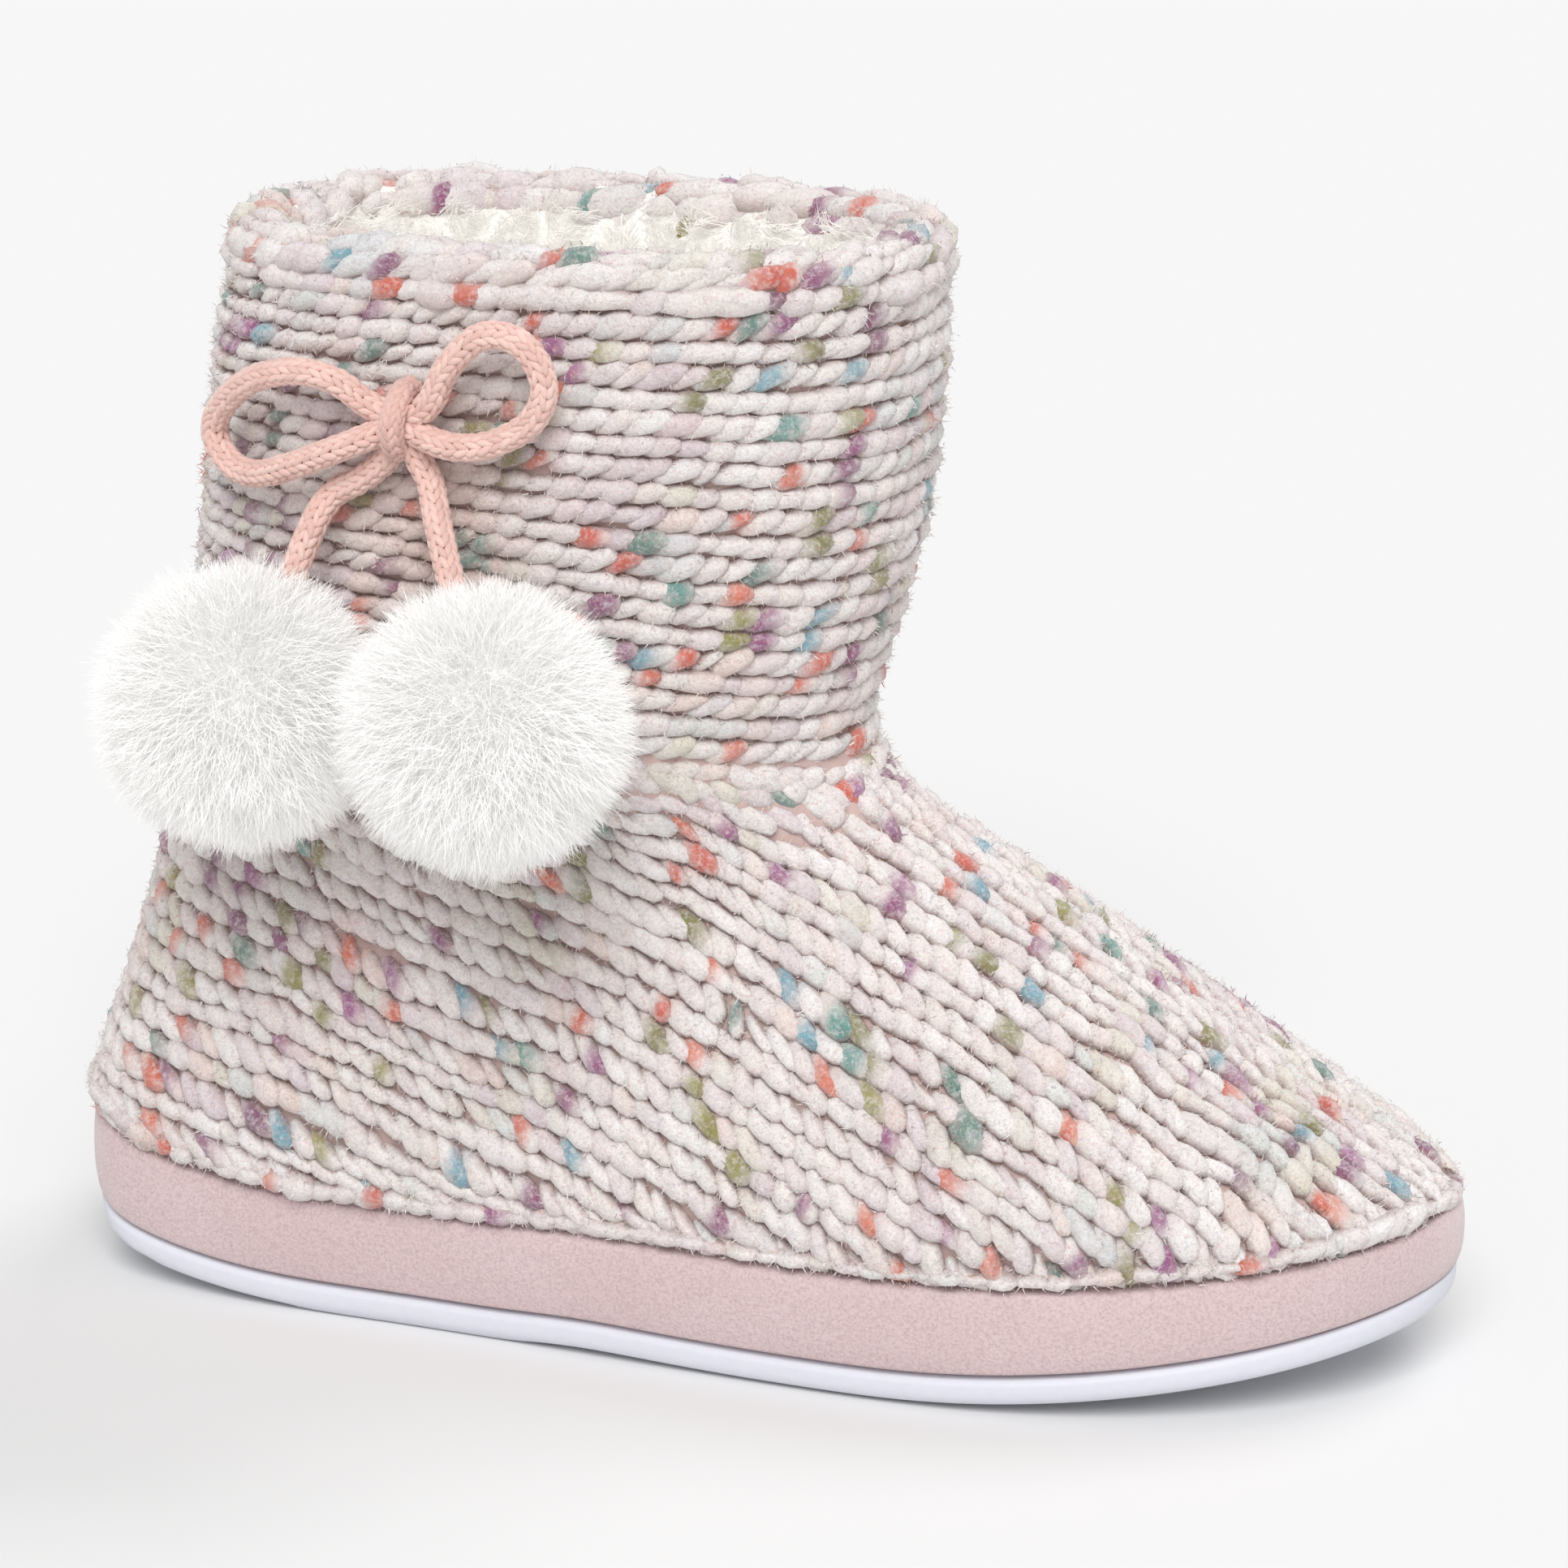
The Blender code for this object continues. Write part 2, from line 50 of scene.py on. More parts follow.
# The view: the slipper stands alone, seen from its outer side, a little from the front and from above.
# The camera was fitted to the photo: where it stands, what it looks at, its roll and its lens.
CAMERA_PLACE = Vector((0.2758, -0.8459, 0.3413))
CAMERA_AIM = Vector((0.0010, 0.0070, 0.0935))
CAMERA_ROLL = math.radians(0.27)
CAMERA_LENS = 120

bpy.ops.object.camera_add(location=CAMERA_PLACE)
camera = bpy.context.object
camera.name = "camera"
camera.data.lens = CAMERA_LENS
camera.data.sensor_width = 36
camera.rotation_mode = "QUATERNION"
look = (CAMERA_AIM - CAMERA_PLACE).to_track_quat("-Z", "Y")
camera.rotation_quaternion = look @ Quaternion((0, 0, 1), CAMERA_ROLL)
bpy.context.scene.camera = camera


# The knitted cord of the bow: a round tube, knitted so finely that it shows small V-shaped stitches in lines
# along it. It is soft, so its loops and tails sag on the knit. It is tied in a knot at the outer side.
# Each route is the middle line of one run of the cord, read from the photo, from the knot outward.
CORD = 0.0050
CORD_LINES = 10
CORD_PITCH = 0.0021
CORD_STITCH = (0.00165, 0.00072, 0.00062)
CORD_RISE = 0.00036
CORD_DIP = 0.0003
CORD_ROUGH = 0.06
CORD_TONES = ("#eabfb4", "#e3b5aa", "#f0cabf", "#daaa9f")
BEND_POINTS = 5
CORD_ROUTES = {
    "bow_loop_rear": (
        (-0.0497, -0.0468, 0.1664), (-0.0552, -0.0469, 0.1686), (-0.0605, -0.0481, 0.1724),
        (-0.0677, -0.0475, 0.1736), (-0.0774, -0.0443, 0.1710), (-0.0853, -0.0395, 0.1650),
        (-0.0877, -0.0373, 0.1595), (-0.0840, -0.0394, 0.1552), (-0.0779, -0.0426, 0.1543),
        (-0.0692, -0.0467, 0.1572), (-0.0613, -0.0490, 0.1606), (-0.0559, -0.0485, 0.1629),
        (-0.0500, -0.0470, 0.1655),
    ),
    "bow_loop_front": (
        (-0.0490, -0.0468, 0.1662), (-0.0439, -0.0480, 0.1695), (-0.0399, -0.0497, 0.1762),
        (-0.0337, -0.0512, 0.1820), (-0.0278, -0.0515, 0.1824), (-0.0237, -0.0509, 0.1787),
        (-0.0226, -0.0500, 0.1729), (-0.0259, -0.0491, 0.1674), (-0.0323, -0.0489, 0.1638),
        (-0.0383, -0.0490, 0.1628), (-0.0431, -0.0485, 0.1635), (-0.0488, -0.0470, 0.1655),
    ),
    "bow_tail_rear": (
        (-0.0498, -0.0462, 0.1640), (-0.0527, -0.0452, 0.1593), (-0.0574, -0.0448, 0.1554),
        (-0.0631, -0.0449, 0.1520), (-0.0655, -0.0485, 0.1466), (-0.0682, -0.0538, 0.1361),
    ),
    "bow_tail_front": (
        (-0.0488, -0.0462, 0.1640), (-0.0467, -0.0455, 0.1592), (-0.0445, -0.0460, 0.1554),
        (-0.0413, -0.0507, 0.1490), (-0.0345, -0.0588, 0.1357),
    ),
}


def linear(hex_colour):
    """An sRGB hex colour as linear red, green, blue and alpha."""
    parts = [int(hex_colour[i:i + 2], 16) / 255 for i in (1, 3, 5)]
    return [p / 12.92 if p <= 0.04045 else ((p + 0.055) / 1.055) ** 2.4 for p in parts] + [1.0]


def add_node(material, kind, links=None, **settings):
    """Adds one node. Settings are its options, links its inputs: each a value or another node's output."""
    made = material.node_tree.nodes.new(kind)
    for name, value in settings.items():
        setattr(made, name, value)
    for name, value in (links or {}).items():
        socket = made.inputs[name]
        if isinstance(value, bpy.types.NodeSocket):
            material.node_tree.links.new(value, socket)
        else:
            socket.default_value = value
    return made


def new_finish(name):
    """A material and its shader."""
    made = bpy.data.materials.new(name)
    made.use_nodes = True
    return made, made.node_tree.nodes["Principled BSDF"]


def noise_of(material, scale, detail, **more):
    """A noise that stays in place on the piece."""
    place = add_node(material, "ShaderNodeTexCoord")
    links = {"Vector": place.outputs["Object"], "Scale": scale, "Detail": detail}
    return add_node(material, "ShaderNodeTexNoise", {**links, **more})


def rise_of(material, source, low, high, top=1.0):
    """How far a noise has risen from low to high, counted up to a top."""
    links = {"Value": source.outputs["Fac"], "From Min": low, "From Max": high, "To Max": top}
    return add_node(material, "ShaderNodeMapRange", links)


def mix_of(material, share, first, second, way="MIX"):
    """Two colours mixed by a share."""
    links = {"Factor": share, "A": first, "B": second}
    return add_node(material, "ShaderNodeMix", links, data_type="RGBA", blend_type=way)


def join_shader(material, shader, colour, height=None, strength=0.0, distance=0.0):
    """Joins a colour to a shader and, where a noise is given as height, its relief."""
    material.node_tree.links.new(colour.outputs["Result"], shader.inputs["Base Color"])
    if height:
        links = {"Height": height.outputs["Fac"], "Strength": strength, "Distance": distance}
        relief = add_node(material, "ShaderNodeBump", links)
        material.node_tree.links.new(relief.outputs["Normal"], shader.inputs["Normal"])


def shape_of(piece):
    """Points, point normals and triangles of a mesh piece."""
    mesh = piece.data
    points = np.empty(len(mesh.vertices) * 3)
    mesh.vertices.foreach_get("co", points)
    normals = np.empty(len(mesh.vertices) * 3)
    mesh.vertices.foreach_get("normal", normals)
    mesh.calc_loop_triangles()
    triangles = np.empty(len(mesh.loop_triangles) * 3, int)
    mesh.loop_triangles.foreach_get("vertices", triangles)
    return points.reshape(-1, 3), normals.reshape(-1, 3), triangles.reshape(-1, 3)


def mesh_piece(name, points, faces, finish):
    """A smooth piece from points and equal-sided faces."""
    mesh = bpy.data.meshes.new(name)
    sides = faces.shape[1]
    mesh.vertices.add(len(points))
    mesh.vertices.foreach_set("co", np.ascontiguousarray(points, np.float32).ravel())
    mesh.loops.add(faces.size)
    mesh.loops.foreach_set("vertex_index", faces.ravel().astype(np.int32))
    mesh.polygons.add(len(faces))
    mesh.polygons.foreach_set("loop_start", np.arange(len(faces), dtype=np.int32) * sides)
    mesh.update(calc_edges=True)
    mesh.shade_smooth()
    mesh.materials.append(finish)
    piece = bpy.data.objects.new(name, mesh)
    bpy.context.collection.objects.link(piece)
    return piece


def unit(vectors):
    return vectors / np.maximum(np.linalg.norm(vectors, axis=-1, keepdims=True), 1e-12)


def smooth_run(points):
    """Points read from a smooth curve through a cord's own points."""
    points = [Vector(p) for p in points]
    run = []
    last = len(points) - 1
    for i in range(last):
        before, here, there, after = (points[max(0, min(last, i + k))] for k in (-1, 0, 1, 2))
        for step in range(BEND_POINTS):
            t = step / BEND_POINTS
            run.append(0.5 * (2 * here + (there - before) * t
                              + (2 * before - 5 * here + 4 * there - after) * t * t
                              + (3 * here - before - 3 * there + after) * t ** 3))
    return np.array(run + [points[last]])


class Row:
    """A line of stitches: its points, the way out of the cloth and the width at each, and the slant."""

    def __init__(self, points, normals, widths, slant, closed, start=0.0, count=None):
        if closed:
            points, normals = np.vstack([points, points[:1]]), np.vstack([normals, normals[:1]])
            widths = np.append(widths, widths[:1])
        self.at = np.concatenate([[0], np.cumsum(np.linalg.norm(np.diff(points, axis=0), axis=1))])
        self.points, self.normals, self.widths = points, normals, widths
        self.along = unit(np.gradient(points, self.at, axis=0))
        self.length, self.slant, self.closed, self.start, self.count = self.at[-1], slant, closed, start, count

    def read(self, values, where):
        if self.closed:
            where = where % self.length
        if values.ndim == 1:
            return np.interp(where, self.at, values)
        return np.stack([np.interp(where, self.at, values[:, k]) for k in range(3)], axis=-1)


def model_stitch(name, size, across, along, blunt=0.12):
    """One leg of a stitch, modelled from a ball: a long bead lying along X with its top to +Z."""
    bpy.ops.object.select_all(action="DESELECT")
    bpy.ops.mesh.primitive_uv_sphere_add(segments=across, ring_count=along, radius=1)
    leg = bpy.context.object
    leg.name = name
    bpy.ops.object.mode_set(mode="EDIT")
    bpy.ops.mesh.select_all(action="SELECT")
    bpy.ops.transform.rotate(value=math.pi / 2, orient_axis="Y", center_override=(0, 0, 0))
    bpy.ops.mesh.quads_convert_to_tris()
    bpy.ops.object.mode_set(mode="OBJECT")
    points, _, triangles = shape_of(leg)
    bpy.data.objects.remove(leg)
    points[:, 1:] = points[:, 1:] * np.maximum(1 - points[:, :1] ** 2, 1e-6) ** -blunt
    corners = points[triangles]
    outward = np.cross(corners[:, 1] - corners[:, 0], corners[:, 2] - corners[:, 0])
    wrong = np.einsum("ij,ij->i", outward, corners.mean(axis=1)) < 0
    triangles[wrong] = triangles[wrong][:, ::-1]
    return points * np.array(size), triangles


def lay_stitches(rows, leg, pitch, rise, sway, dip, rough):
    """Lays legs along rows. A leg climbs by rise, is bowed by sway, and its first end sinks by dip."""
    shape, triangles = leg
    half = np.abs(shape[:, 0]).max()
    share = shape[:, 0] / half
    all_points, all_faces, places = [], [], []
    total = 0
    for number, row in enumerate(rows):
        if row.closed:
            count = row.count or max(3, round(row.length / pitch))
            middles = (np.arange(count) + 0.5) * row.length / count
        else:
            first = math.ceil(-row.start / pitch)
            last = math.floor((row.length - row.start) / pitch)
            middles = row.start + (np.arange(first, last + 1) + 0.5) * pitch
            middles = middles[(middles > 0) & (middles < row.length)]
        if not len(middles):
            continue
        jitter = rng.normal(0, 1, (len(middles), 6))
        swell = 1 + rough * jitter[:, 0:1]
        where = middles[:, None] + 0.05 * pitch * jitter[:, 1:2]
        where = where + shape[None, :, 0] * (1 + rough * jitter[:, 2:3])
        if not row.closed:
            where = np.clip(where, 0, row.length)
        width = row.read(row.widths, where)
        climb = row.slant * rise * np.sin(math.pi / 2 * share)[None, :] * (1 + 1.5 * rough * jitter[:, 3:4])
        across = width * (climb + (shape[None, :, 1] * swell + row.slant * sway * (1 - share[None, :] ** 2)))
        wander = 2 * sway * np.sin(where / 0.007 + 2.4 * number) * np.sin(where / 0.0113 + 1.7 * number)
        across = across + wander
        out = shape[None, :, 2] * swell - dip * (1 - share[None, :]) ** 2 / 4
        out = out + 0.08 * half * rough * jitter[:, 4:5]
        out = out + 0.05 * half * (1 - share[None, :] ** 2)
        normals = unit(row.read(row.normals, where))
        along = unit(row.read(row.along, where))
        up = unit(np.cross(normals, along))
        points = row.read(row.points, where) + up * across[..., None] + normals * out[..., None]
        all_points.append(points.reshape(-1, 3))
        steps = total + np.arange(len(middles)) * len(shape)
        all_faces.append((triangles[None] + steps[:, None, None]).reshape(-1, 3))
        total += len(middles) * len(shape)
        places += [(number, i) for i in range(len(middles))]
    return np.vstack(all_points), np.vstack(all_faces), places


def tint_points(piece, name, colours):
    """Keeps one colour on each point of a piece."""
    layer = piece.data.color_attributes.new(name=name, type="FLOAT_COLOR", domain="POINT")
    layer.data.foreach_set("color", np.ascontiguousarray(colours, np.float32).ravel())


def cord_rows(run, thickness):
    """Lines along a cord's surface, each with the way out at every point."""
    along = unit(np.gradient(run, axis=0))
    side = np.cross(along, np.array([0.0, -1.0, 0.0]))
    side = unit(side)
    out = np.cross(side, along)
    rows = []
    for line in range(CORD_LINES):
        turn = 2 * math.pi * (line + 0.5) / CORD_LINES
        way = math.cos(turn) * out + math.sin(turn) * side
        surface = run + way * (thickness * CORD / 2 - CORD_STITCH[2])
        rows.append(Row(surface, way, np.ones(len(run)), 1 if line % 2 else -1, False))
    return rows


# Cotton and acrylic cord, dusty salmon pink: a matt soft yarn. Its core tube is painted a darker rose: painted
# shade in the small gaps between its stitches.
cord_finish, shader = new_finish("knitted cotton cord")
yarn = add_node(cord_finish, "ShaderNodeAttribute", attribute_name="yarn")
fibre = noise_of(cord_finish, 2600.0, 3.0)
shade = mix_of(cord_finish, fibre.outputs["Fac"], yarn.outputs["Color"], linear("#eccabf"))
join_shader(cord_finish, shader, shade, fibre, 0.5, 0.0003)
shader.inputs["Roughness"].default_value = 0.9
shader.inputs["Sheen Weight"].default_value = 0.4
shader.inputs["Sheen Roughness"].default_value = 0.6

cord_leg = model_stitch("cord stitch", CORD_STITCH, 6, 5)


def make_cord_mesh(name, run, thickness, tones):
    """A knitted cord along a run: a closed tube, with its stitches laid on it."""
    lines = cord_rows(run, thickness)
    points, faces, places = lay_stitches(lines, cord_leg, CORD_PITCH, CORD_RISE, 0.0, CORD_DIP, CORD_ROUGH)
    core = np.vstack([line.points - line.normals * CORD_STITCH[2] * 0.5 for line in lines])
    count = len(run)
    quads = []
    for line in range(CORD_LINES):
        following = (line + 1) % CORD_LINES
        for k in range(count - 1):
            here, there = line * count + k, following * count + k
            quads.append((here, here + 1, there + 1, there))
    quads = np.array(quads)
    caps = []
    for end in (0, count - 1):
        ring = [line * count + end for line in range(CORD_LINES)]
        for k in range(1, CORD_LINES - 1):
            caps.append((ring[0], ring[k], ring[k + 1]) if end else (ring[0], ring[k + 1], ring[k]))
    tube = np.vstack([quads[:, [0, 1, 2]], quads[:, [0, 2, 3]], np.array(caps)])
    piece = mesh_piece(name, np.vstack([core, points]), np.vstack([tube, faces + len(core)]), cord_finish)
    # Painted shade: the core tube is a darker rose, seen in the gaps between the stitches.
    colours = np.tile(linear("#b07a70"), (len(core) + len(points), 1))
    shades = np.array([linear(tone) for tone in tones])
    picks = rng.integers(0, len(shades), len(places))
    colours[len(core):] = np.repeat(shades[picks], len(cord_leg[0]), axis=0)
    tint_points(piece, "yarn", colours)
    return piece


for cord_name, route in CORD_ROUTES.items():
    run = smooth_run(route)
    piece = make_cord_mesh(cord_name + "_knit", run, 1.0, CORD_TONES)
    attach(piece, "root")
    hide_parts(cord_name)

# The knot: one tight turn of the same cord over the four ends, upright, squeezed narrow between the loops. Its
# tones are the cord's painted darker: painted shade where it sits between the loops.
KNOT_HALF_HEIGHT = 0.0052
low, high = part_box("bow_knot")
knot_middle = np.array((low + high) / 2)
turn = np.linspace(-0.60 * math.pi, 0.60 * math.pi, 17)
knot_run = knot_middle + np.stack([0.0006 * np.sin(turn), 0.0008 - 0.0060 * np.cos(turn),
                                   KNOT_HALF_HEIGHT * np.sin(turn)], axis=1)
knot = make_cord_mesh("bow_knot_knit", knot_run, 0.9, ("#cf9c92", "#c68f86", "#d6a69b"))
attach(knot, "root")
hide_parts("bow_knot")


# The knit's own surface: a smooth copy of the upper, from which the rows of stitches, the backing and the
# lining are laid out. The rows run level round the shaft. Below the throat they run alongside the vamp's ridge.
ROW = 0.00428
FOOT_ROW = 0.00455
PITCH = 0.0047
THROAT_X, THROAT_Z = 0.0165, 0.0995
HEEL_RISE = 0.16  # how much the rows climb from the throat to the heel
GROOVE_Z = 0.1856  # lower edge of the turned collar
COLLAR_ROLL = 0.0050
SHAFT_ROWS = 20
EVENING_ROUNDS = 40
RIDGE_SLOPE, HEEL_SLOPE, BEND = 0.50, 0.22, 0.055  # how steeply the foot's rows fall, at the ridge and heel
RIM_Z = 0.195
SHAFT_MIDDLE_X = -0.036
HEM = 0.0050  # how far the knit turns down inside the collar
LINE_STEP = 0.0010
SHORTEST_ROW = 0.012


def smooth_copy(node, name, levels, crease=0.0):
    """A merged and subdivided copy of a CAD solid, whose sharp edges keep this much of their crease."""
    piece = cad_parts[node].copy()
    piece.data = piece.data.copy()
    piece.name = name
    piece.parent = None
    for key in list(piece.keys()):
        del piece[key]
    bpy.context.collection.objects.link(piece)
    bpy.ops.object.select_all(action="DESELECT")
    piece.select_set(True)
    bpy.context.view_layer.objects.active = piece
    bpy.ops.object.mode_set(mode="EDIT")
    bpy.ops.mesh.select_all(action="SELECT")
    bpy.ops.mesh.remove_doubles(threshold=0.00001)
    bpy.ops.mesh.customdata_custom_splitnormals_clear()
    bpy.ops.mesh.tris_convert_to_quads(face_threshold=math.radians(60), shape_threshold=math.radians(60))
    if crease:
        bpy.ops.mesh.select_mode(type="EDGE")
        bpy.ops.mesh.select_all(action="DESELECT")
        bpy.ops.mesh.edges_select_sharp(sharpness=math.radians(35))
        bpy.ops.transform.edge_crease(value=crease)
        bpy.ops.mesh.select_mode(type="VERT")
    bpy.ops.object.mode_set(mode="OBJECT")
    smoother = piece.modifiers.new("smooth", "SUBSURF")
    smoother.levels = levels
    smoother.render_levels = levels
    bpy.ops.object.modifier_apply(modifier=smoother.name)
    piece.data.shade_smooth()
    return piece


shell = smooth_copy("upper", "upper_backing", 2)
shell_points, shell_normals, shell_faces = shape_of(shell)

# Which side of the wall each point is on: the middle of the foot and of the shaft tells out from in.
zeros = np.zeros(len(shell_points))
foot_middle = np.stack([np.clip(shell_points[:, 0], -0.085, 0.085), zeros,
                        np.interp(shell_points[:, 0], [-0.09, 0.02, 0.09], [0.060, 0.050, 0.038])], axis=1)
shaft_middle = np.stack([zeros + SHAFT_MIDDLE_X, zeros, shell_points[:, 2]], axis=1)
in_shaft = np.clip((shell_points[:, 2] - 0.085) / 0.02, 0, 1)[:, None]
middle = foot_middle * (1 - in_shaft) + shaft_middle * in_shaft
facing = np.einsum("ij,ij->i", shell_normals, unit(shell_points - middle))
on_roll = shell_points[:, 2] > RIM_Z - COLLAR_ROLL
outside = (facing > 0) | on_roll
hem = ~outside & (shell_points[:, 2] > RIM_Z - COLLAR_ROLL - HEM)

# How many rows up each point of the outer face lies. The crease is the line round the shaft from the throat to
# the heel. Above it the rows are level. Ahead of the throat the rows lie alongside the vamp's ridge, and behind
# it they run on up to the crease and round the heel, less and less steeply.
outer_faces = shell_faces[(outside | hem)[shell_faces].all(axis=1)]
steep = unit(np.cross(shell_points[outer_faces[:, 1]] - shell_points[outer_faces[:, 0]],
                      shell_points[outer_faces[:, 2]] - shell_points[outer_faces[:, 0]]))[:, 2]
outer_faces = outer_faces[steep > -0.93]
behind = np.maximum(0, THROAT_X - shell_points[:, 0])
level = THROAT_Z + HEEL_RISE * behind
above_level = shell_points[:, 2] - level

distance = np.full(len(shell_points), 9.0)
sides = np.vstack([outer_faces[:, [0, 1]], outer_faces[:, [1, 2]], outer_faces[:, [2, 0]]])
edges = np.unique(np.sort(sides, axis=1), axis=0)
a, b = edges.T
tilt = shell_normals[:, 1]
on_vamp = (shell_points[:, 0] > THROAT_X - 0.001) & (above_level < 0.001) & (shell_normals[:, 2] > 0.05)
ridge = (tilt[a] * tilt[b] <= 0) & on_vamp[a] & on_vamp[b]
span = np.linalg.norm(shell_points[a] - shell_points[b], axis=1)
total_tilt = np.maximum(np.abs(tilt[a]) + np.abs(tilt[b]), 1e-9)
for end in (a, b):
    np.minimum.at(distance, end[ridge], (np.abs(tilt[end]) / total_tilt * span)[ridge])


def spread_distance(points, faces, known, rounds):
    """Lets a distance known at some points spread over a mesh, straight across its faces."""
    known = known.copy()
    turns = []
    for i, j, k in ((0, 1, 2), (1, 2, 0), (2, 0, 1)):
        first, second, third = faces[:, i], faces[:, j], faces[:, k]
        edge = points[second] - points[first]
        length = np.linalg.norm(edge, axis=1)
        to_third = points[third] - points[first]
        along = np.einsum("ij,ij->i", to_third, edge) / length
        off = np.sqrt(np.maximum(np.einsum("ij,ij->i", to_third, to_third) - along ** 2, 1e-14))
        turns.append((first, second, third, length, along, off))
    for _ in range(rounds):
        for first, second, third, length, along, off in turns:
            slope = (known[second] - known[first]) / length
            held = np.clip(slope, -0.999, 0.999)
            cross = np.clip(along - held * off / np.sqrt(1 - held ** 2), 0, length)
            found = known[first] + slope * cross + np.hypot(along - cross, off)
            np.minimum.at(known, third, found)
    return known


distance = spread_distance(shell_points, outer_faces, distance, 110)
from_shaft = unit((shell_points - shaft_middle) * [1, 1, 0])
roll_turn = np.arctan2(shell_normals[:, 2], np.einsum("ij,ij->i", shell_normals * [1, 1, 0], from_shaft))
height = np.minimum(shell_points[:, 2], RIM_Z - COLLAR_ROLL)
rows_up = SHAFT_ROWS * (height - level) / (GROOVE_Z - level)
rows_up += np.where(on_roll, COLLAR_ROLL * np.clip(roll_turn, 0, math.pi) / ROW, 0)
turned = SHAFT_ROWS * (RIM_Z - COLLAR_ROLL - level) / (GROOVE_Z - level) + COLLAR_ROLL * math.pi / ROW
rows_up = np.where(hem, turned + (RIM_Z - COLLAR_ROLL - shell_points[:, 2]) / ROW, rows_up)

# Behind the section at this place the rows keep its spacing, and each follows the same falling line.
SECTION_X = 0.021
shift = np.maximum(0, SECTION_X - shell_points[:, 0])
fall = HEEL_SLOPE * shift + (RIDGE_SLOPE - HEEL_SLOPE) * BEND * (1 - np.exp(-shift / BEND))
carried = shell_points[:, 2] - fall
rows_down = -distance / FOOT_ROW
on_outer = np.zeros(len(shell_points), bool)
on_outer[outer_faces] = True
for hand in (-1, 1):
    near = on_outer & (np.abs(shell_points[:, 0] - SECTION_X) < 0.004) & (shell_points[:, 1] * hand > 0)
    order = np.argsort(shell_points[near, 2])
    heights, depths = shell_points[near, 2][order], rows_down[near][order]
    steps = np.linspace(heights[0] + 0.003, heights[-1] - 0.0005, 24)
    section = np.array([np.interp(z, heights, depths) if z > steps[-3] else
                        depths[np.abs(heights - z) < 0.003].mean() for z in steps])
    section = np.maximum.accumulate(section)
    found = np.interp(carried, steps, section)
    below, above = np.minimum(carried - steps[0], 0), np.maximum(carried - steps[-1], 0)
    found += below / FOOT_ROW * 0.95 + above / FOOT_ROW * 3
    blend = np.clip(shift / 0.006, 0, 1)
    mixed = rows_down * (1 - blend) + found * blend
    rows_down = np.where((shift > 0) & (shell_points[:, 1] * hand > 0), mixed, rows_down)
neighbours = np.bincount(a, minlength=len(shell_points)) + np.bincount(b, minlength=len(shell_points))
neighbours = np.maximum(neighbours, 1)
for _ in range(EVENING_ROUNDS):
    total = np.bincount(a, rows_down[b], len(shell_points)) + np.bincount(b, rows_down[a], len(shell_points))
    share = np.clip(-rows_down / 2 - 0.5, 0, 1) * on_outer
    rows_down = rows_down * (1 - share) + share * total / neighbours
above_crease = outer_faces[(above_level > -0.0004)[outer_faces].all(axis=1)]
below_crease = outer_faces[(above_level < 0.0045)[outer_faces].all(axis=1)]

corners = shell_points[outer_faces]
face_out = np.cross(corners[:, 1] - corners[:, 0], corners[:, 2] - corners[:, 0])
area_twice = np.linalg.norm(face_out, axis=1, keepdims=True)
face_way = face_out / np.maximum(area_twice, 1e-12)
values = np.where((above_level[outer_faces].mean(axis=1) > 0)[:, None],
                  rows_up[outer_faces], rows_down[outer_faces])
climb = sum(values[:, k:k + 1] * np.cross(face_way, corners[:, (k + 2) % 3] - corners[:, (k + 1) % 3])
            for k in range(3))
climb = climb / np.maximum(area_twice, 1e-12)
steepness = np.linalg.norm(climb, axis=1)
point_width = np.zeros(len(shell_points))
point_count = np.zeros(len(shell_points))
for k in range(3):
    np.add.at(point_width, outer_faces[:, k], np.clip(1 / np.maximum(steepness, 1e-6), 0.7 * ROW, 1.3 * ROW))
    np.add.at(point_count, outer_faces[:, k], 1)
point_width = point_width / np.maximum(point_count, 1) / ROW


def trace(field, faces, value):
    """The lines on the outer face where a field has one value, each as edges with its closed mark."""
    corner_values = field[faces]
    cut = np.flatnonzero((corner_values.min(axis=1) < value) & (corner_values.max(axis=1) > value))
    links = {}
    for index in cut:
        face = faces[index]
        ends = []
        for k in range(3):
            i, j = int(face[k]), int(face[(k + 1) % 3])
            if (field[i] < value) != (field[j] < value):
                ends.append((min(i, j), max(i, j)))
        links.setdefault(ends[0], []).append(ends[1])
        links.setdefault(ends[1], []).append(ends[0])
    lines = []
    while links:
        start = next((key for key in links if len(links[key]) == 1), next(iter(links)))
        closed = len(links[start]) > 1
        line = [start]
        here = start
        while True:
            onward = links.get(here)
            if not onward:
                break
            there = onward.pop()
            if not onward:
                del links[here]
            back = links.get(there)
            if back and here in back:
                back.remove(here)
                if not back:
                    del links[there]
            line.append(there)
            here = there
        lines.append((line, closed and line[0] == line[-1]))
    return lines


def even_line(points, spacing, closed, passes):
    """A line's points at even steps, smoothed."""
    for _ in range(passes):
        if closed:
            points = (np.roll(points, 1, axis=0) + 2 * points + np.roll(points, -1, axis=0)) / 4
        else:
            points[1:-1] = (points[:-2] + 2 * points[1:-1] + points[2:]) / 4
    run = np.vstack([points, points[:1]]) if closed else points
    at = np.concatenate([[0], np.cumsum(np.linalg.norm(np.diff(run[:, :3], axis=0), axis=1))])
    where = np.linspace(0, at[-1], max(4, int(at[-1] / spacing)), endpoint=not closed)
    return np.stack([np.interp(where, at, run[:, k]) for k in range(run.shape[1])], axis=1)


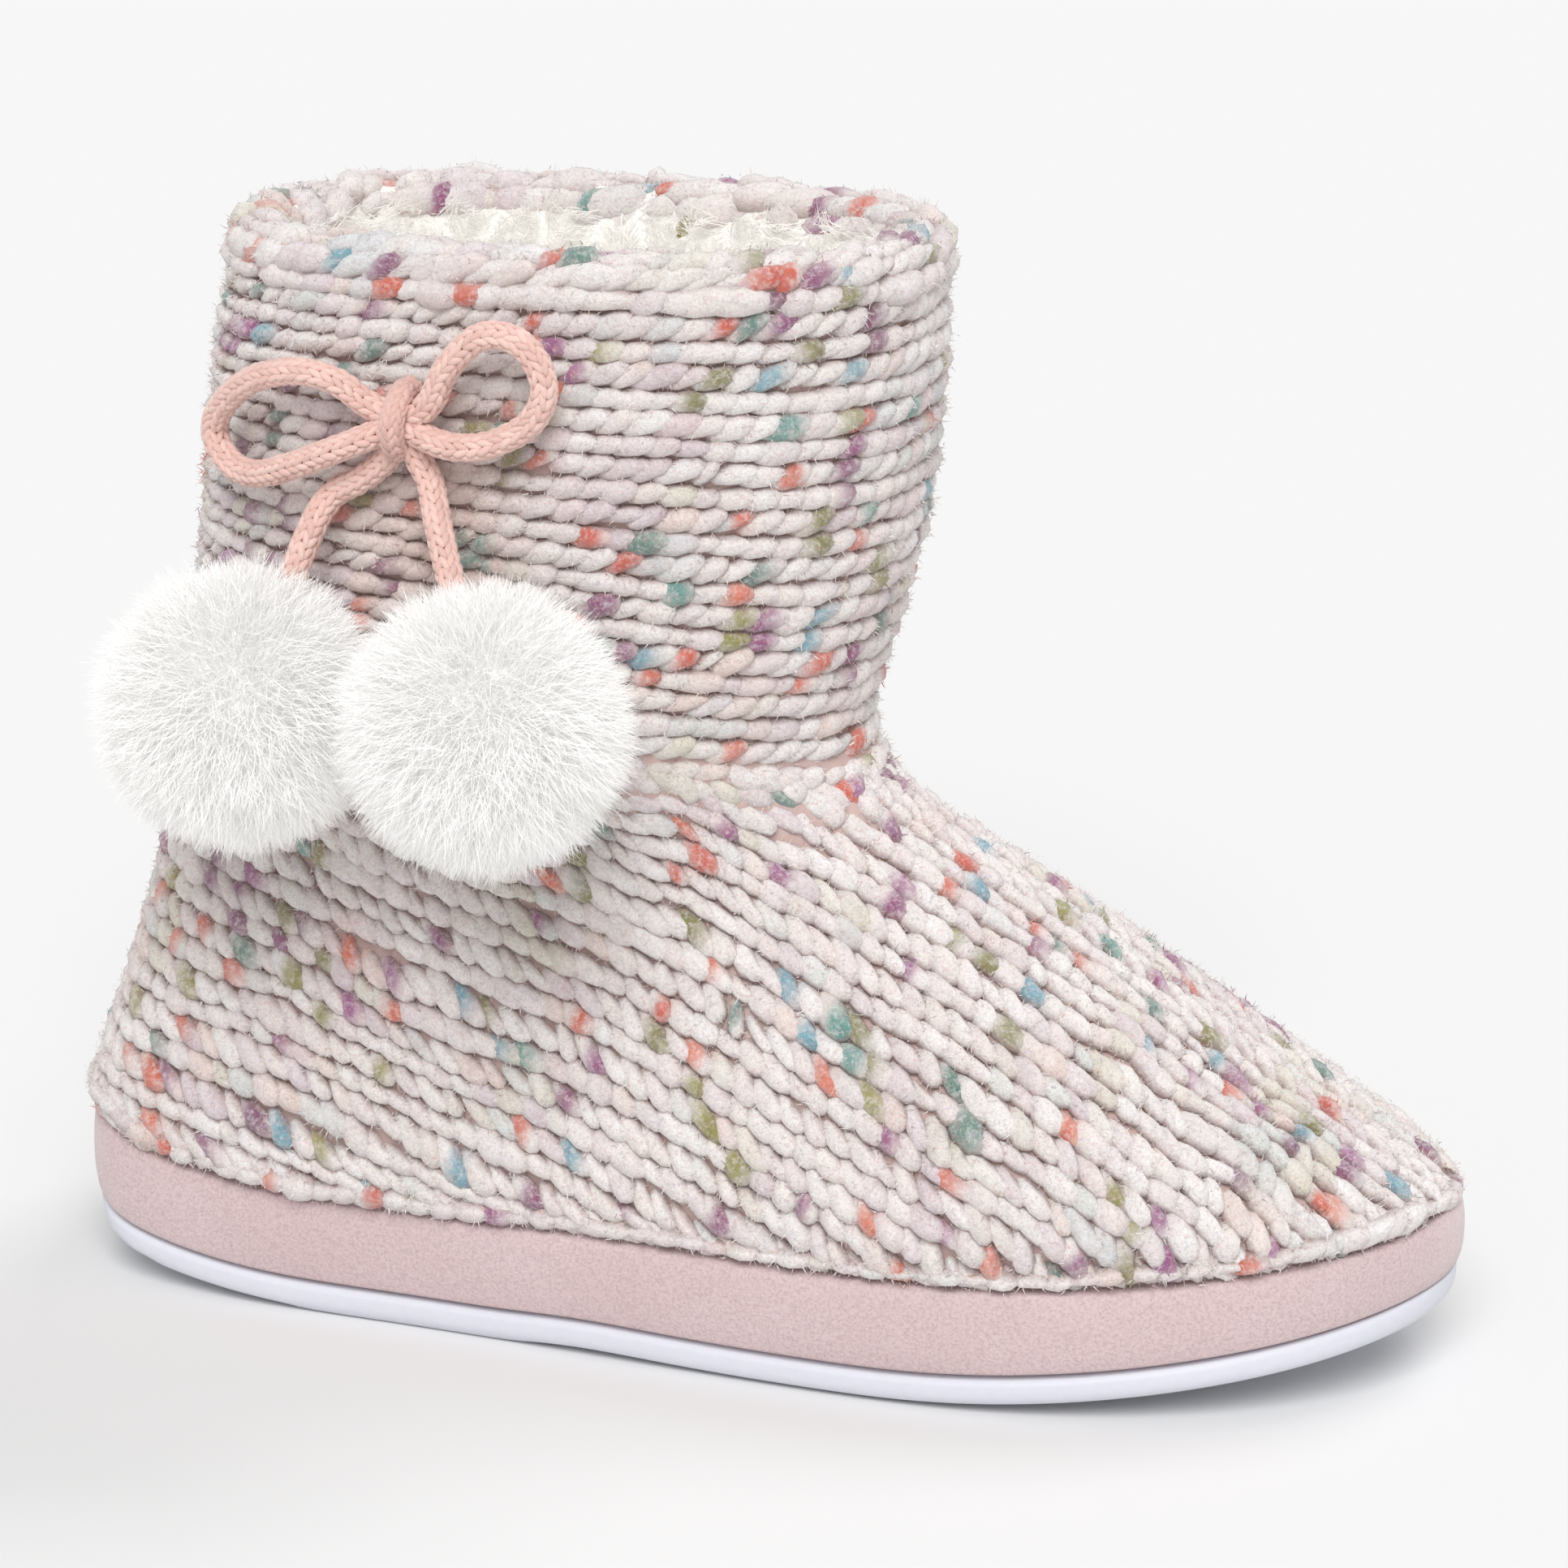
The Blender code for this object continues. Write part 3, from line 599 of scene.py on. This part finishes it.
def stitch_rows(field, faces, numbers, sink):
    """Rows of stitches on the knit, each laid this far under the surface."""
    rows = []
    pair_count = {}
    for number in numbers:
        value = number + 0.5
        for line, closed in trace(field, faces, value):
            keys = np.array(line)
            share = (value - field[keys[:, 0]]) / (field[keys[:, 1]] - field[keys[:, 0]])
            share = share[:, None]
            data = np.hstack([shell_points, shell_normals, point_width[:, None]])
            found = data[keys[:, 0]] * (1 - share) + data[keys[:, 1]] * share
            if closed:
                found = found[:-1]
            if len(found) < 8:
                continue
            found = even_line(found, LINE_STEP, closed, 3)
            found = even_line(found, LINE_STEP, closed, 4)
            points, normals, widths = found[:, :3], unit(found[:, 3:6]), found[:, 6]
            if np.linalg.norm(np.diff(points, axis=0), axis=1).sum() < SHORTEST_ROW:
                continue
            middle_at = len(points) // 2
            way = points[middle_at + 1] - points[middle_at]
            up = np.cross(normals[middle_at], way)
            grown = climb_at(points[middle_at])
            if up @ grown < 0:
                points, normals, widths = points[::-1], normals[::-1], widths[::-1]
            back = int(np.argmin(points[:, 0]))
            if closed:
                points, normals, widths = (np.roll(v, -back, axis=0) for v in (points, normals, widths))
            slant = (1 if number % 2 else 0.5) * (1 if number >= 0 else -1)
            row = Row(points - normals * sink, normals, widths, slant, closed)
            if closed:
                key = number // 2
                row.count = pair_count.setdefault(key, round(row.length / PITCH))
            else:
                row.start = row.at[back] if points[back, 0] < -0.09 else 0.0
            row.number = number
            rows.append(row)
    return rows


face_middles = corners.mean(axis=1)


def climb_at(point):
    """The way to the next row at a point."""
    return climb[np.argmin(((face_middles - point) ** 2).sum(axis=1))]


# The knit itself: a chenille yarn, off-white with pale pink, lilac and green in it, and short dyed lengths of
# magenta, coral, olive and teal. Each leg of a stitch is a fat slanted bead, and the rows look like ropes.
STITCH = (0.0046, 0.00212, 0.00210)
STITCH_SINK = 0.0013
STITCH_RISE = 0.0012
STITCH_DIP = 0.0022
STITCH_SWAY = 0.00018
STITCH_ROUGH, COLLAR_ROUGH = 0.13, 0.24
COLLAR_SPREAD = 1.15  # the collar's stitches lie this much further apart
YARN_LUMPS = 0.00010
GROUNDS = ("#fbf6f3", "#f7f1ee", "#fdfaf8", "#f4ecea", "#f9f3ef", "#f8f5f1", "#fefbf9", "#f3ecec")
SOFT_TINTS = ("#e6c9cc", "#d9c3d2", "#ecccbd", "#c9d8d4", "#d9d8bb", "#d4bccb", "#efd3c7", "#c3d3da")
DYED = ("#8c2c72", "#74225e", "#9c3f88", "#86306f", "#93347c", "#dc562c", "#d54c26", "#e4734f", "#dd6039",
        "#928f35", "#7f7e33", "#4f9a90", "#6aa9bb", "#4a8175")
PILE_FIBRES, PILE_LENGTH, PILE_WIDTH = 40, 0.0014, 0.00012
BIG_STITCH = (1.2, 1.2, 1.35)
THIN_AND_SHADED_AT = (-0.047, -0.046, 0.146)  # below the knot: painted shade in the hollow under the bow, and the thin, stretched knit showing the rose backing
DYED_SHARE = 0.14
PAIR_SHARE = 0.5  # how often a dyed length colours the next row's stitch too
GAP_SHADE_TONE = "#8a5a50"  # painted shade on the underside of each leg, seen between the rows
SPOT_REACH = (0.5, 1.05)
HEM_RISE = 18

# Chenille yarn: matt and furry. Its colour is on its points, painted shade included, and over it lie bleached
# patches, rose and lilac flecks, and painted shade for the depth between the fibres of its pile. A faint warm
# emission is a painted glow.
knit_finish, shader = new_finish("speckled chenille knit")
yarn = add_node(knit_finish, "ShaderNodeAttribute", attribute_name="yarn")
pale = noise_of(knit_finish, 950.0, 3.0, Roughness=0.7)
undyed = rise_of(knit_finish, pale, 0.48, 0.64, 0.42)
bleached = mix_of(knit_finish, undyed.outputs["Result"], yarn.outputs["Color"], linear("#fefbf8"))
mottle = noise_of(knit_finish, 1300.0, 3.0, Roughness=0.7, Distortion=0.4)
flecks = rise_of(knit_finish, mottle, 0.52, 0.68, 0.50)
tints = noise_of(knit_finish, 420.0, 3.0)
warm = rise_of(knit_finish, tints, 0.4, 0.6)
fleck_tone = mix_of(knit_finish, warm.outputs["Result"], linear("#dfa498"), linear("#c3b3d2"))
flecked = mix_of(knit_finish, flecks.outputs["Result"], bleached.outputs["Result"],
                 fleck_tone.outputs["Result"])
# Painted shade: a fine noise darkens the yarn, standing in for the shade between the pile's fibres.
fuzz = noise_of(knit_finish, 2400.0, 2.0)
pile_shade = rise_of(knit_finish, fuzz, 0.40, 0.62, 0.27)
shade = mix_of(knit_finish, pile_shade.outputs["Result"], flecked.outputs["Result"],
               linear("#cbb6ae"), "MULTIPLY")
pile = noise_of(knit_finish, 1700.0, 4.0, Roughness=0.75)
join_shader(knit_finish, shader, shade, pile, 0.75, 0.0009)
# Painted glow: a faint warm emission lifts the knit's shadows, standing in for light scattered in the yarn.
shader.inputs["Emission Color"].default_value = linear("#ffe2d8")
shader.inputs["Emission Strength"].default_value = 0.045
shader.inputs["Roughness"].default_value = 0.95
shader.inputs["Sheen Weight"].default_value = 0.5
shader.inputs["Sheen Roughness"].default_value = 0.6


def raise_pile(points, faces, colours, per_stitch):
    """Adds the yarn's short pile: single fibres standing out of the upper side of each stitch."""
    flat = mesh_piece("pile", points, faces, knit_finish)
    normals = shape_of(flat)[1]
    bpy.data.objects.remove(flat)
    size = len(knit_leg[0])
    stitches = len(points) // size
    upper = np.flatnonzero(knit_leg[0][:, 2] > -0.35 * STITCH[2])
    pick = rng.choice(upper, (stitches, per_stitch)) + size * np.arange(stitches)[:, None]
    pick = pick.ravel()
    ways = unit(normals[pick] + 0.75 * rng.normal(0, 1, (len(pick), 3)))
    sides_to = unit(np.cross(ways, rng.normal(0, 1, ways.shape)))
    roots = points[pick] + 0.0007 * np.cross(normals[pick], rng.normal(0, 1, ways.shape))
    roots = roots - normals[pick] * 0.0002
    tips = roots + ways * PILE_LENGTH * rng.uniform(0.6, 1.3, (len(pick), 1))
    width = sides_to * PILE_WIDTH
    fibres = np.stack([roots - width, roots + width, tips], axis=1).reshape(-1, 3)
    fibre_faces = np.arange(len(fibres)).reshape(-1, 3) + len(points)
    tones = colours[pick]
    tones[:, :3] = np.clip(tones[:, :3] * rng.uniform(0.92, 1.08, (len(pick), 1)), 0, 1)
    return (np.vstack([points, fibres]), np.vstack([faces, fibre_faces]),
            np.vstack([colours, np.repeat(tones, 3, axis=0)]))


def dye_stitches(rows, places, points):
    """The yarn's colour at each point of its stitches: blotches of tint, short strongly dyed lengths, and
    painted shade on the legs' undersides and in the hollow below the knot.
    """
    count = len(places)
    legs = points.reshape(count, -1, 3)
    middles = legs.mean(axis=1)
    share = np.tile(knit_leg[0][:, 0] / STITCH[0], (count, 1))
    ground = np.array([linear(c)[:3] for c in GROUNDS])
    soft = np.array([linear(c)[:3] for c in SOFT_TINTS])
    strong = np.array([linear(c)[:3] for c in DYED])
    base = ground[rng.integers(0, len(ground), count)]
    tint_pick = rng.integers(0, len(soft), count)
    cloud = np.array([noise.noise(Vector(m) * 55) for m in middles])
    which = np.array([noise.noise(Vector(m) * 38 + Vector((9, 4, 2))) for m in middles])
    regional = np.clip(((which + 0.6) / 1.2 * len(soft)).astype(int), 0, len(soft) - 1)
    tint_pick = np.where(rng.random(count) < 0.65, regional, tint_pick)
    tint_weight = np.clip(cloud * 1.3 + rng.normal(0.02, 0.24, count), 0, 0.65)
    tint_lean = rng.uniform(-0.6, 0.6, count)[:, None]
    weight = tint_weight[:, None] * np.clip(0.75 + tint_lean * share, 0, 1)
    colours = base[:, None] * (1 - weight[..., None]) + soft[tint_pick][:, None] * weight[..., None]
    chosen, pair_dye = {}, {}
    for index, (row, step) in enumerate(places):
        key = (rows[row].number // 2, step)
        if rng.random() < DYED_SHARE:
            chosen[index] = int(rng.integers(0, len(strong)))
            pair_dye.setdefault(key, chosen[index])
        elif key in pair_dye and rng.random() < PAIR_SHARE:
            chosen[index] = pair_dye[key]
    for index, pick in chosen.items():
        spot = np.clip(1.2 - np.abs(share[index] - rng.uniform(-0.5, 0.7)) / rng.uniform(*SPOT_REACH), 0, 1)
        spot = (spot * rng.uniform(0.95, 1.35) * (0.75 + 0.5 * rng.random(len(spot))))[:, None].clip(0, 1)
        colours[index] = colours[index] * (1 - spot) + strong[pick] * spot
        if index + 1 < count and places[index + 1][0] == places[index][0]:
            fade = np.clip(0.45 - 0.5 * (share[index + 1] + 1), 0, 1)[:, None]
            colours[index + 1] = colours[index + 1] * (1 - fade) + strong[pick] * fade
    colours = colours * (1 + 0.05 * rng.normal(0, 1, colours.shape[:2]))[..., None]
    # Painted shade in the hollow below the knot, under the bow and pompoms, mixed with the tint of the thin
    # knit there.
    near_knot = np.linalg.norm((middles - THIN_AND_SHADED_AT) / (0.017, 0.03, 0.022), axis=1)
    thin_and_shaded = np.clip(1.2 - near_knot, 0, 1)[:, None, None] * 0.55
    colours = colours * (1 - thin_and_shaded) + colours * np.array(linear("#d9a58a")[:3]) * thin_and_shaded
    # Painted shade: each leg's underside is darkened toward a dark rose, where the rows shade each other.
    depth = knit_leg[0][:, 2] / STITCH[2]
    painted_gap_shade = (np.clip((0.40 - depth) / 0.62, 0, 1) ** 0.8)[None, :, None] * 0.9
    colours = colours * (1 - painted_gap_shade) + np.array(linear(GAP_SHADE_TONE)[:3]) * painted_gap_shade
    return np.concatenate([colours.clip(0, 1), np.ones(colours.shape[:2] + (1,))], axis=2).reshape(-1, 4)


knit_leg = model_stitch("knit stitch", STITCH, 8, 7, 0.05)
shaft_rows = stitch_rows(rows_up, above_crease, range(0, 28), STITCH_SINK)
foot_rows = stitch_rows(rows_down, below_crease, range(-30, 0), STITCH_SINK)
crease_rows = stitch_rows(rows_up, outer_faces, [-0.5], STITCH_SINK + 0.0004)

# The hem over the band: one row of fat stitches laid along the band's upper edge.
band_points = shape_of(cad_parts["platform"])[0]
bins = np.linspace(-0.126, 0.126, 43)
band_top = [band_points[np.abs(band_points[:, 0] - x) < 0.008, 2].max() for x in bins]
above_band = shell_points[:, 2] - np.interp(shell_points[:, 0], bins, band_top)
above_band += 0.0011 * np.clip(shell_points[:, 1] / 0.02, 0, 1)
hem_rows = stitch_rows(above_band / 0.0001, below_crease, [HEM_RISE], STITCH_SINK * 0.6)

knit_groups = {
    "knit_shaft": [row for row in shaft_rows if row.number < SHAFT_ROWS],
    "knit_collar": [row for row in shaft_rows if row.number >= SHAFT_ROWS],
    "knit_crease": crease_rows,
    "knit_foot_high": [row for row in foot_rows if row.number >= -13],
    "knit_foot_low": [row for row in foot_rows if row.number < -13],
    "knit_hem": hem_rows,
}
for group_name, rows in knit_groups.items():
    big = group_name == "knit_collar"
    shape = (knit_leg[0] * BIG_STITCH, knit_leg[1]) if big else knit_leg
    points, faces, places = lay_stitches(rows, shape, PITCH * (COLLAR_SPREAD if big else 1), STITCH_RISE,
                                         STITCH_SWAY, STITCH_DIP, COLLAR_ROUGH if big else STITCH_ROUGH)
    points = points + rng.normal(0, YARN_LUMPS, points.shape)
    colours = dye_stitches(rows, places, points)
    points, faces, colours = raise_pile(points, faces, colours, PILE_FIBRES)
    piece = mesh_piece(group_name, points, faces, knit_finish)
    tint_points(piece, "yarn", colours)
    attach(piece, "root")
    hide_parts("upper")


# The backing: one soft wall on the upper's own surface. Its outer face is a dull rose-brown, painted shade that
# shows in the gaps between the stitches. Its inner face is the lining, a thick white fleece that swells toward
# the rim.
BACKING_SINK = 0.0022
FLEECE_BULGE = 0.0050
CREASE_BULGE = 0.0018


def dress(piece, *finishes):
    """Gives a piece these finishes in place of its own."""
    piece.data.materials.clear()
    for finish in finishes:
        piece.data.materials.append(finish)


# Painted shade for the gaps between the stitches: matt rose-brown, a little uneven in tone.
gap_shade_finish, shader = new_finish("painted gap shade backing")
patches = noise_of(gap_shade_finish, 180.0, 3.0)
shade = mix_of(gap_shade_finish, patches.outputs["Fac"], linear("#cdb3a8"), linear("#c2aaaa"))
join_shader(gap_shade_finish, shader, shade)
shader.inputs["Roughness"].default_value = 1.0

# Polyester fleece: white, matt and curly. Its emission is a painted glow, standing in for the light that passes
# on between its fibres.
fleece_finish, shader = new_finish("white sherpa fleece")
curls = noise_of(fleece_finish, 420.0, 5.0, Roughness=0.7)
shade = mix_of(fleece_finish, curls.outputs["Fac"], linear("#d9d4cb"), linear("#fbfaf7"))
join_shader(fleece_finish, shader, shade, curls, 1.0, 0.0016)
shader.inputs["Roughness"].default_value = 1.0
# Painted glow: a faint white emission.
shader.inputs["Emission Color"].default_value = linear("#fffdfa")
shader.inputs["Emission Strength"].default_value = 0.23

heights = shell_points[:, 2]
bulge = np.clip((heights - 0.120) / 0.03, 0, 1) * np.clip((0.1895 - heights) / 0.007, 0, 1)
near_crease = np.clip(1.4 - np.abs(above_level) / 0.012, 0, 1)
bulge = (~outside) * (bulge * FLEECE_BULGE + CREASE_BULGE * near_crease)
sink = BACKING_SINK * np.clip(np.abs(above_level) / 0.010, 0.3, 1)
sinks = outside & ((roll_turn < 2.2) | ~on_roll)
sunk = np.where(sinks[:, None], shell_points - shell_normals * sink[:, None],
                shell_points + shell_normals * bulge[:, None])
shell.data.vertices.foreach_set("co", sunk.ravel())
shell.data.update()
dress(shell, gap_shade_finish, fleece_finish)
inner_points = ~outside | (on_roll & (roll_turn > 2.0))
for face in shell.data.polygons:
    face.material_index = int(all(inner_points[v] for v in face.vertices))
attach(shell, "root")
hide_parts("upper")


# The lining's pile: short white fibres in small curled tufts, on the part of the wall that can be seen. The
# fibres lean toward the middle of their tuft and curl at the end, and there are more of them near the rim.
FLEECE_FIBRES = 21000
FLEECE_LENGTH = 0.0058
FLEECE_WIDTH = 0.00011
FLEECE_TUFTS = 420


def scatter(points, faces, count, favour):
    """Random places on a mesh: the face of each, its corners' shares in the place, and the place."""
    corners = points[faces]
    areas = np.linalg.norm(np.cross(corners[:, 1] - corners[:, 0], corners[:, 2] - corners[:, 0]), axis=1)
    weights = areas * favour
    chosen = rng.choice(len(faces), count, p=weights / weights.sum())
    split = np.sort(rng.random((count, 2)), axis=1)
    mix = np.stack([split[:, 0], split[:, 1] - split[:, 0], 1 - split[:, 1]], axis=1)
    return chosen, mix, (corners[chosen] * mix[..., None]).sum(axis=1)


def bent_fibres(roots, knees, ends, side, knee_share=1):
    """Fibres from root to knee to a pointed end, and their faces. Side is half of the width at the root."""
    knee_side = side * knee_share
    fibres = np.stack([roots - side, roots + side, knees - knee_side, knees + knee_side, ends], axis=1)
    strand = np.array([(0, 1, 3), (0, 3, 2), (2, 3, 4)])
    return fibres.reshape(-1, 3), (strand[None] + 5 * np.arange(len(roots))[:, None, None]).reshape(-1, 3)


points, normals, faces = shape_of(shell)
seen = inner_points & (points[:, 2] > 0.118) & (points[:, 2] < RIM_Z - 0.004)
visible = faces[seen[faces].all(axis=1)]
favour = 0.25 + np.clip((points[visible][:, :, 2].mean(axis=1) - 0.13) / 0.04, 0, 1)
chosen, mix, roots = scatter(points, visible, FLEECE_FIBRES, favour)
outs = unit((normals[visible[chosen]] * mix[..., None]).sum(axis=1))
tufts_at = roots[rng.integers(0, FLEECE_FIBRES, FLEECE_TUFTS)]
nearest = np.array([np.argmin(((tufts_at - root) ** 2).sum(axis=1)) for root in roots])
to_tuft = tufts_at[nearest] - roots
curl = unit(np.cross(outs, unit(to_tuft + 1e-6)) + 0.5 * rng.normal(0, 1, roots.shape))
lengths = FLEECE_LENGTH * rng.uniform(0.55, 1.15, (FLEECE_FIBRES, 1))
side = unit(np.cross(outs, rng.normal(0, 1, outs.shape))) * FLEECE_WIDTH
knees = roots + outs * lengths * 0.6 + to_tuft * 0.35 + curl * lengths * 0.18
ends = roots + outs * lengths * 0.85 + to_tuft * 0.7 + curl * lengths * 0.55
fibres, strands = bent_fibres(roots, knees, ends, side)
lining = mesh_piece("lining_pile", fibres, strands, fleece_finish)
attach(lining, "root")
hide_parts("upper")


# The insole: a footbed of the same fleece on top of the platform, made a little full so that its edge
# presses on the wall all round. Its nap is short, bent and thin.
FOOTBED_SPREAD = 0.0031
FOOTBED_FIBRES = 7000
footbed = smooth_copy("insole", "insole_fleece", 2, 0.9)
points, normals, faces = shape_of(footbed)
points = points + normals * [1, 1, 0] * FOOTBED_SPREAD
footbed.data.vertices.foreach_set("co", points.ravel())
footbed.data.update()
dress(footbed, fleece_finish)
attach(footbed, "root")
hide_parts("insole")

upper_side = faces[(normals[faces, 2] > 0.5).all(axis=1)]
chosen, mix, roots = scatter(points, upper_side, FOOTBED_FIBRES, 1)
lean = rng.normal(0, 1, roots.shape)
side = unit(np.cross(lean, [0, 0, 1])) * FLEECE_WIDTH * 2.2
knees = roots + np.array([0, 0, 0.0016]) + lean * 0.0007
ends = roots + np.array([0, 0, 0.0022]) + lean * 0.0020
fibres, strands = bent_fibres(roots, knees, ends, side)
nap = mesh_piece("insole_pile", fibres, strands, fleece_finish)
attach(nap, "root")
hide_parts("insole")


# The platform: a foam sole wrapped in a band of microfibre suede cloth, which covers its side all round.
# The cloth is pale dusty pink. Its nap gives it a fine grain and a soft sheen.
band_finish, shader = new_finish("pink suede cloth")
grain = noise_of(band_finish, 1700.0, 3.0, Roughness=0.75)
cloud = noise_of(band_finish, 40.0, 2.0)
tone = mix_of(band_finish, cloud.outputs["Fac"], linear("#d6bebf"), linear("#e0cacb"))
spots = rise_of(band_finish, grain, 0.42, 0.66, 0.45)
shade = mix_of(band_finish, spots.outputs["Result"], tone.outputs["Result"], linear("#a88a8c"))
join_shader(band_finish, shader, shade, grain, 0.7, 0.0005)
shader.inputs["Roughness"].default_value = 0.95
shader.inputs["Sheen Weight"].default_value = 0.6
shader.inputs["Sheen Roughness"].default_value = 0.4

band = smooth_copy("platform", "platform_band", 2, 0.8)
dress(band, band_finish)
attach(band, "root")
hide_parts("platform")


# The tread: a thin outsole of moulded foam under the platform, near white with a cool cast, smooth and matt.
# Its underside doesn't show in the photo, and it is left plain.
tread_finish, shader = new_finish("moulded pale foam")
skin = noise_of(tread_finish, 600.0, 3.0)
shade = mix_of(tread_finish, skin.outputs["Fac"], linear("#d8dae4"), linear("#e1e2ea"))
join_shader(tread_finish, shader, shade, skin, 0.15, 0.0002)
shader.inputs["Roughness"].default_value = 0.55

tread = smooth_copy("outsole", "outsole_foam", 2, 0.9)
dress(tread, tread_finish)
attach(tread, "root")
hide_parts("outsole")


# The pompoms: balls of dense white faux fur, each on the end of a tail of the cord. The fur stands out from a
# small core in a little clumped strands. A faint emission is a painted glow, standing in for the light that
# passes on between them.
FUR_REACH = 0.0252
FUR_ROOT = 0.0150
FUR_STRANDS = 24000
FUR_WIDTH = 0.00016
FUR_TUFTS = 420
FUR_CORE = 0.0185
fur_finish, shader = new_finish("white faux fur")
tufts = noise_of(fur_finish, 160.0, 3.0)
shade = mix_of(fur_finish, tufts.outputs["Fac"], linear("#f3f2f0"), linear("#ffffff"))
join_shader(fur_finish, shader, shade)
shader.inputs["Roughness"].default_value = 0.8
# Painted glow: a faint white emission.
shader.inputs["Emission Color"].default_value = linear("#fffdfa")
shader.inputs["Emission Strength"].default_value = 0.085

for node in ("pompom_rear", "pompom_front"):
    low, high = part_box(node)
    centre = np.array((low + high) / 2)
    index = np.arange(FUR_STRANDS) + 0.5
    polar = np.arccos(1 - 2 * index / FUR_STRANDS)
    around = math.pi * (1 + 5 ** 0.5) * index
    ways = np.stack([np.sin(polar) * np.cos(around), np.sin(polar) * np.sin(around), np.cos(polar)], axis=1)
    tufts_at = unit(rng.normal(0, 1, (FUR_TUFTS, 3)))
    nearest = np.argmax(ways @ tufts_at.T, axis=1)
    tips = unit(ways + 0.40 * tufts_at[nearest] + rng.normal(0, 0.13, ways.shape) + np.array([0, 0, -0.08]))
    uneven = 0.035 * rng.normal(0, 1, FUR_STRANDS)
    lengths = FUR_REACH * (1 + uneven + 0.02 * np.sin(9 * ways[:, 0] + 7 * ways[:, 2]))
    side = unit(np.cross(ways, rng.normal(0, 1, ways.shape))) * FUR_WIDTH
    roots = centre + ways * FUR_ROOT
    knees = centre + unit(ways + 0.35 * tips) * (FUR_ROOT + 0.6 * (lengths - FUR_ROOT))[:, None]
    ends = centre + tips * lengths[:, None]
    points, faces = bent_fibres(roots, knees, ends, side, 0.7)
    bpy.ops.object.select_all(action="DESELECT")
    bpy.ops.mesh.primitive_ico_sphere_add(subdivisions=4, radius=FUR_CORE)
    ball = bpy.context.object
    ball_points, _, ball_faces = shape_of(ball)
    bpy.data.objects.remove(ball)
    all_points = np.vstack([ball_points + centre, points])
    fur = mesh_piece(node + "_fur", all_points, np.vstack([ball_faces, faces + len(ball_points)]), fur_finish)
    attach(fur, "root")
    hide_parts(node)


# The floor and the light: a pale seamless floor, a wide soft lamp from high at the front right, a weaker one
# from behind that lays the soft shadow at the heel's near side, and white all round.
KEY_STRENGTH = 2.12
BACK_STRENGTH = 0.75
ROOM_STRENGTH = 0.48
LAMP_SPREAD = math.radians(34)
# Matt paper, a little darker than the room, so that it meets the background with no edge.
floor_finish, shader = new_finish("pale paper floor")
shader.inputs["Base Color"].default_value = linear("#e8e8e8")
shader.inputs["Roughness"].default_value = 1.0
shader.inputs["Specular IOR Level"].default_value = 0.0
bpy.ops.mesh.primitive_plane_add(size=60, location=(0, 20, 0))
floor = bpy.context.object
floor.name = "floor"
floor.data.materials.append(floor_finish)

for lamp_name, spot, strength in (("key_light", (0.26, -1.0, 1.05), KEY_STRENGTH),
                                  ("back_light", (0.55, 0.75, 1.30), BACK_STRENGTH)):
    bpy.ops.object.light_add(type="SUN", location=spot)
    lamp = bpy.context.object
    lamp.name = lamp_name
    lamp.data.energy = strength
    lamp.data.angle = LAMP_SPREAD
    lamp.rotation_mode = "QUATERNION"
    lamp.rotation_quaternion = (-lamp.location).to_track_quat("-Z", "Y")

world = bpy.data.worlds.new("studio")
world.use_nodes = True
world.node_tree.nodes["Background"].inputs["Color"].default_value = (1, 1, 1, 1)
world.node_tree.nodes["Background"].inputs["Strength"].default_value = ROOM_STRENGTH
bpy.context.scene.world = world
bpy.context.scene.view_settings.view_transform = "Standard"
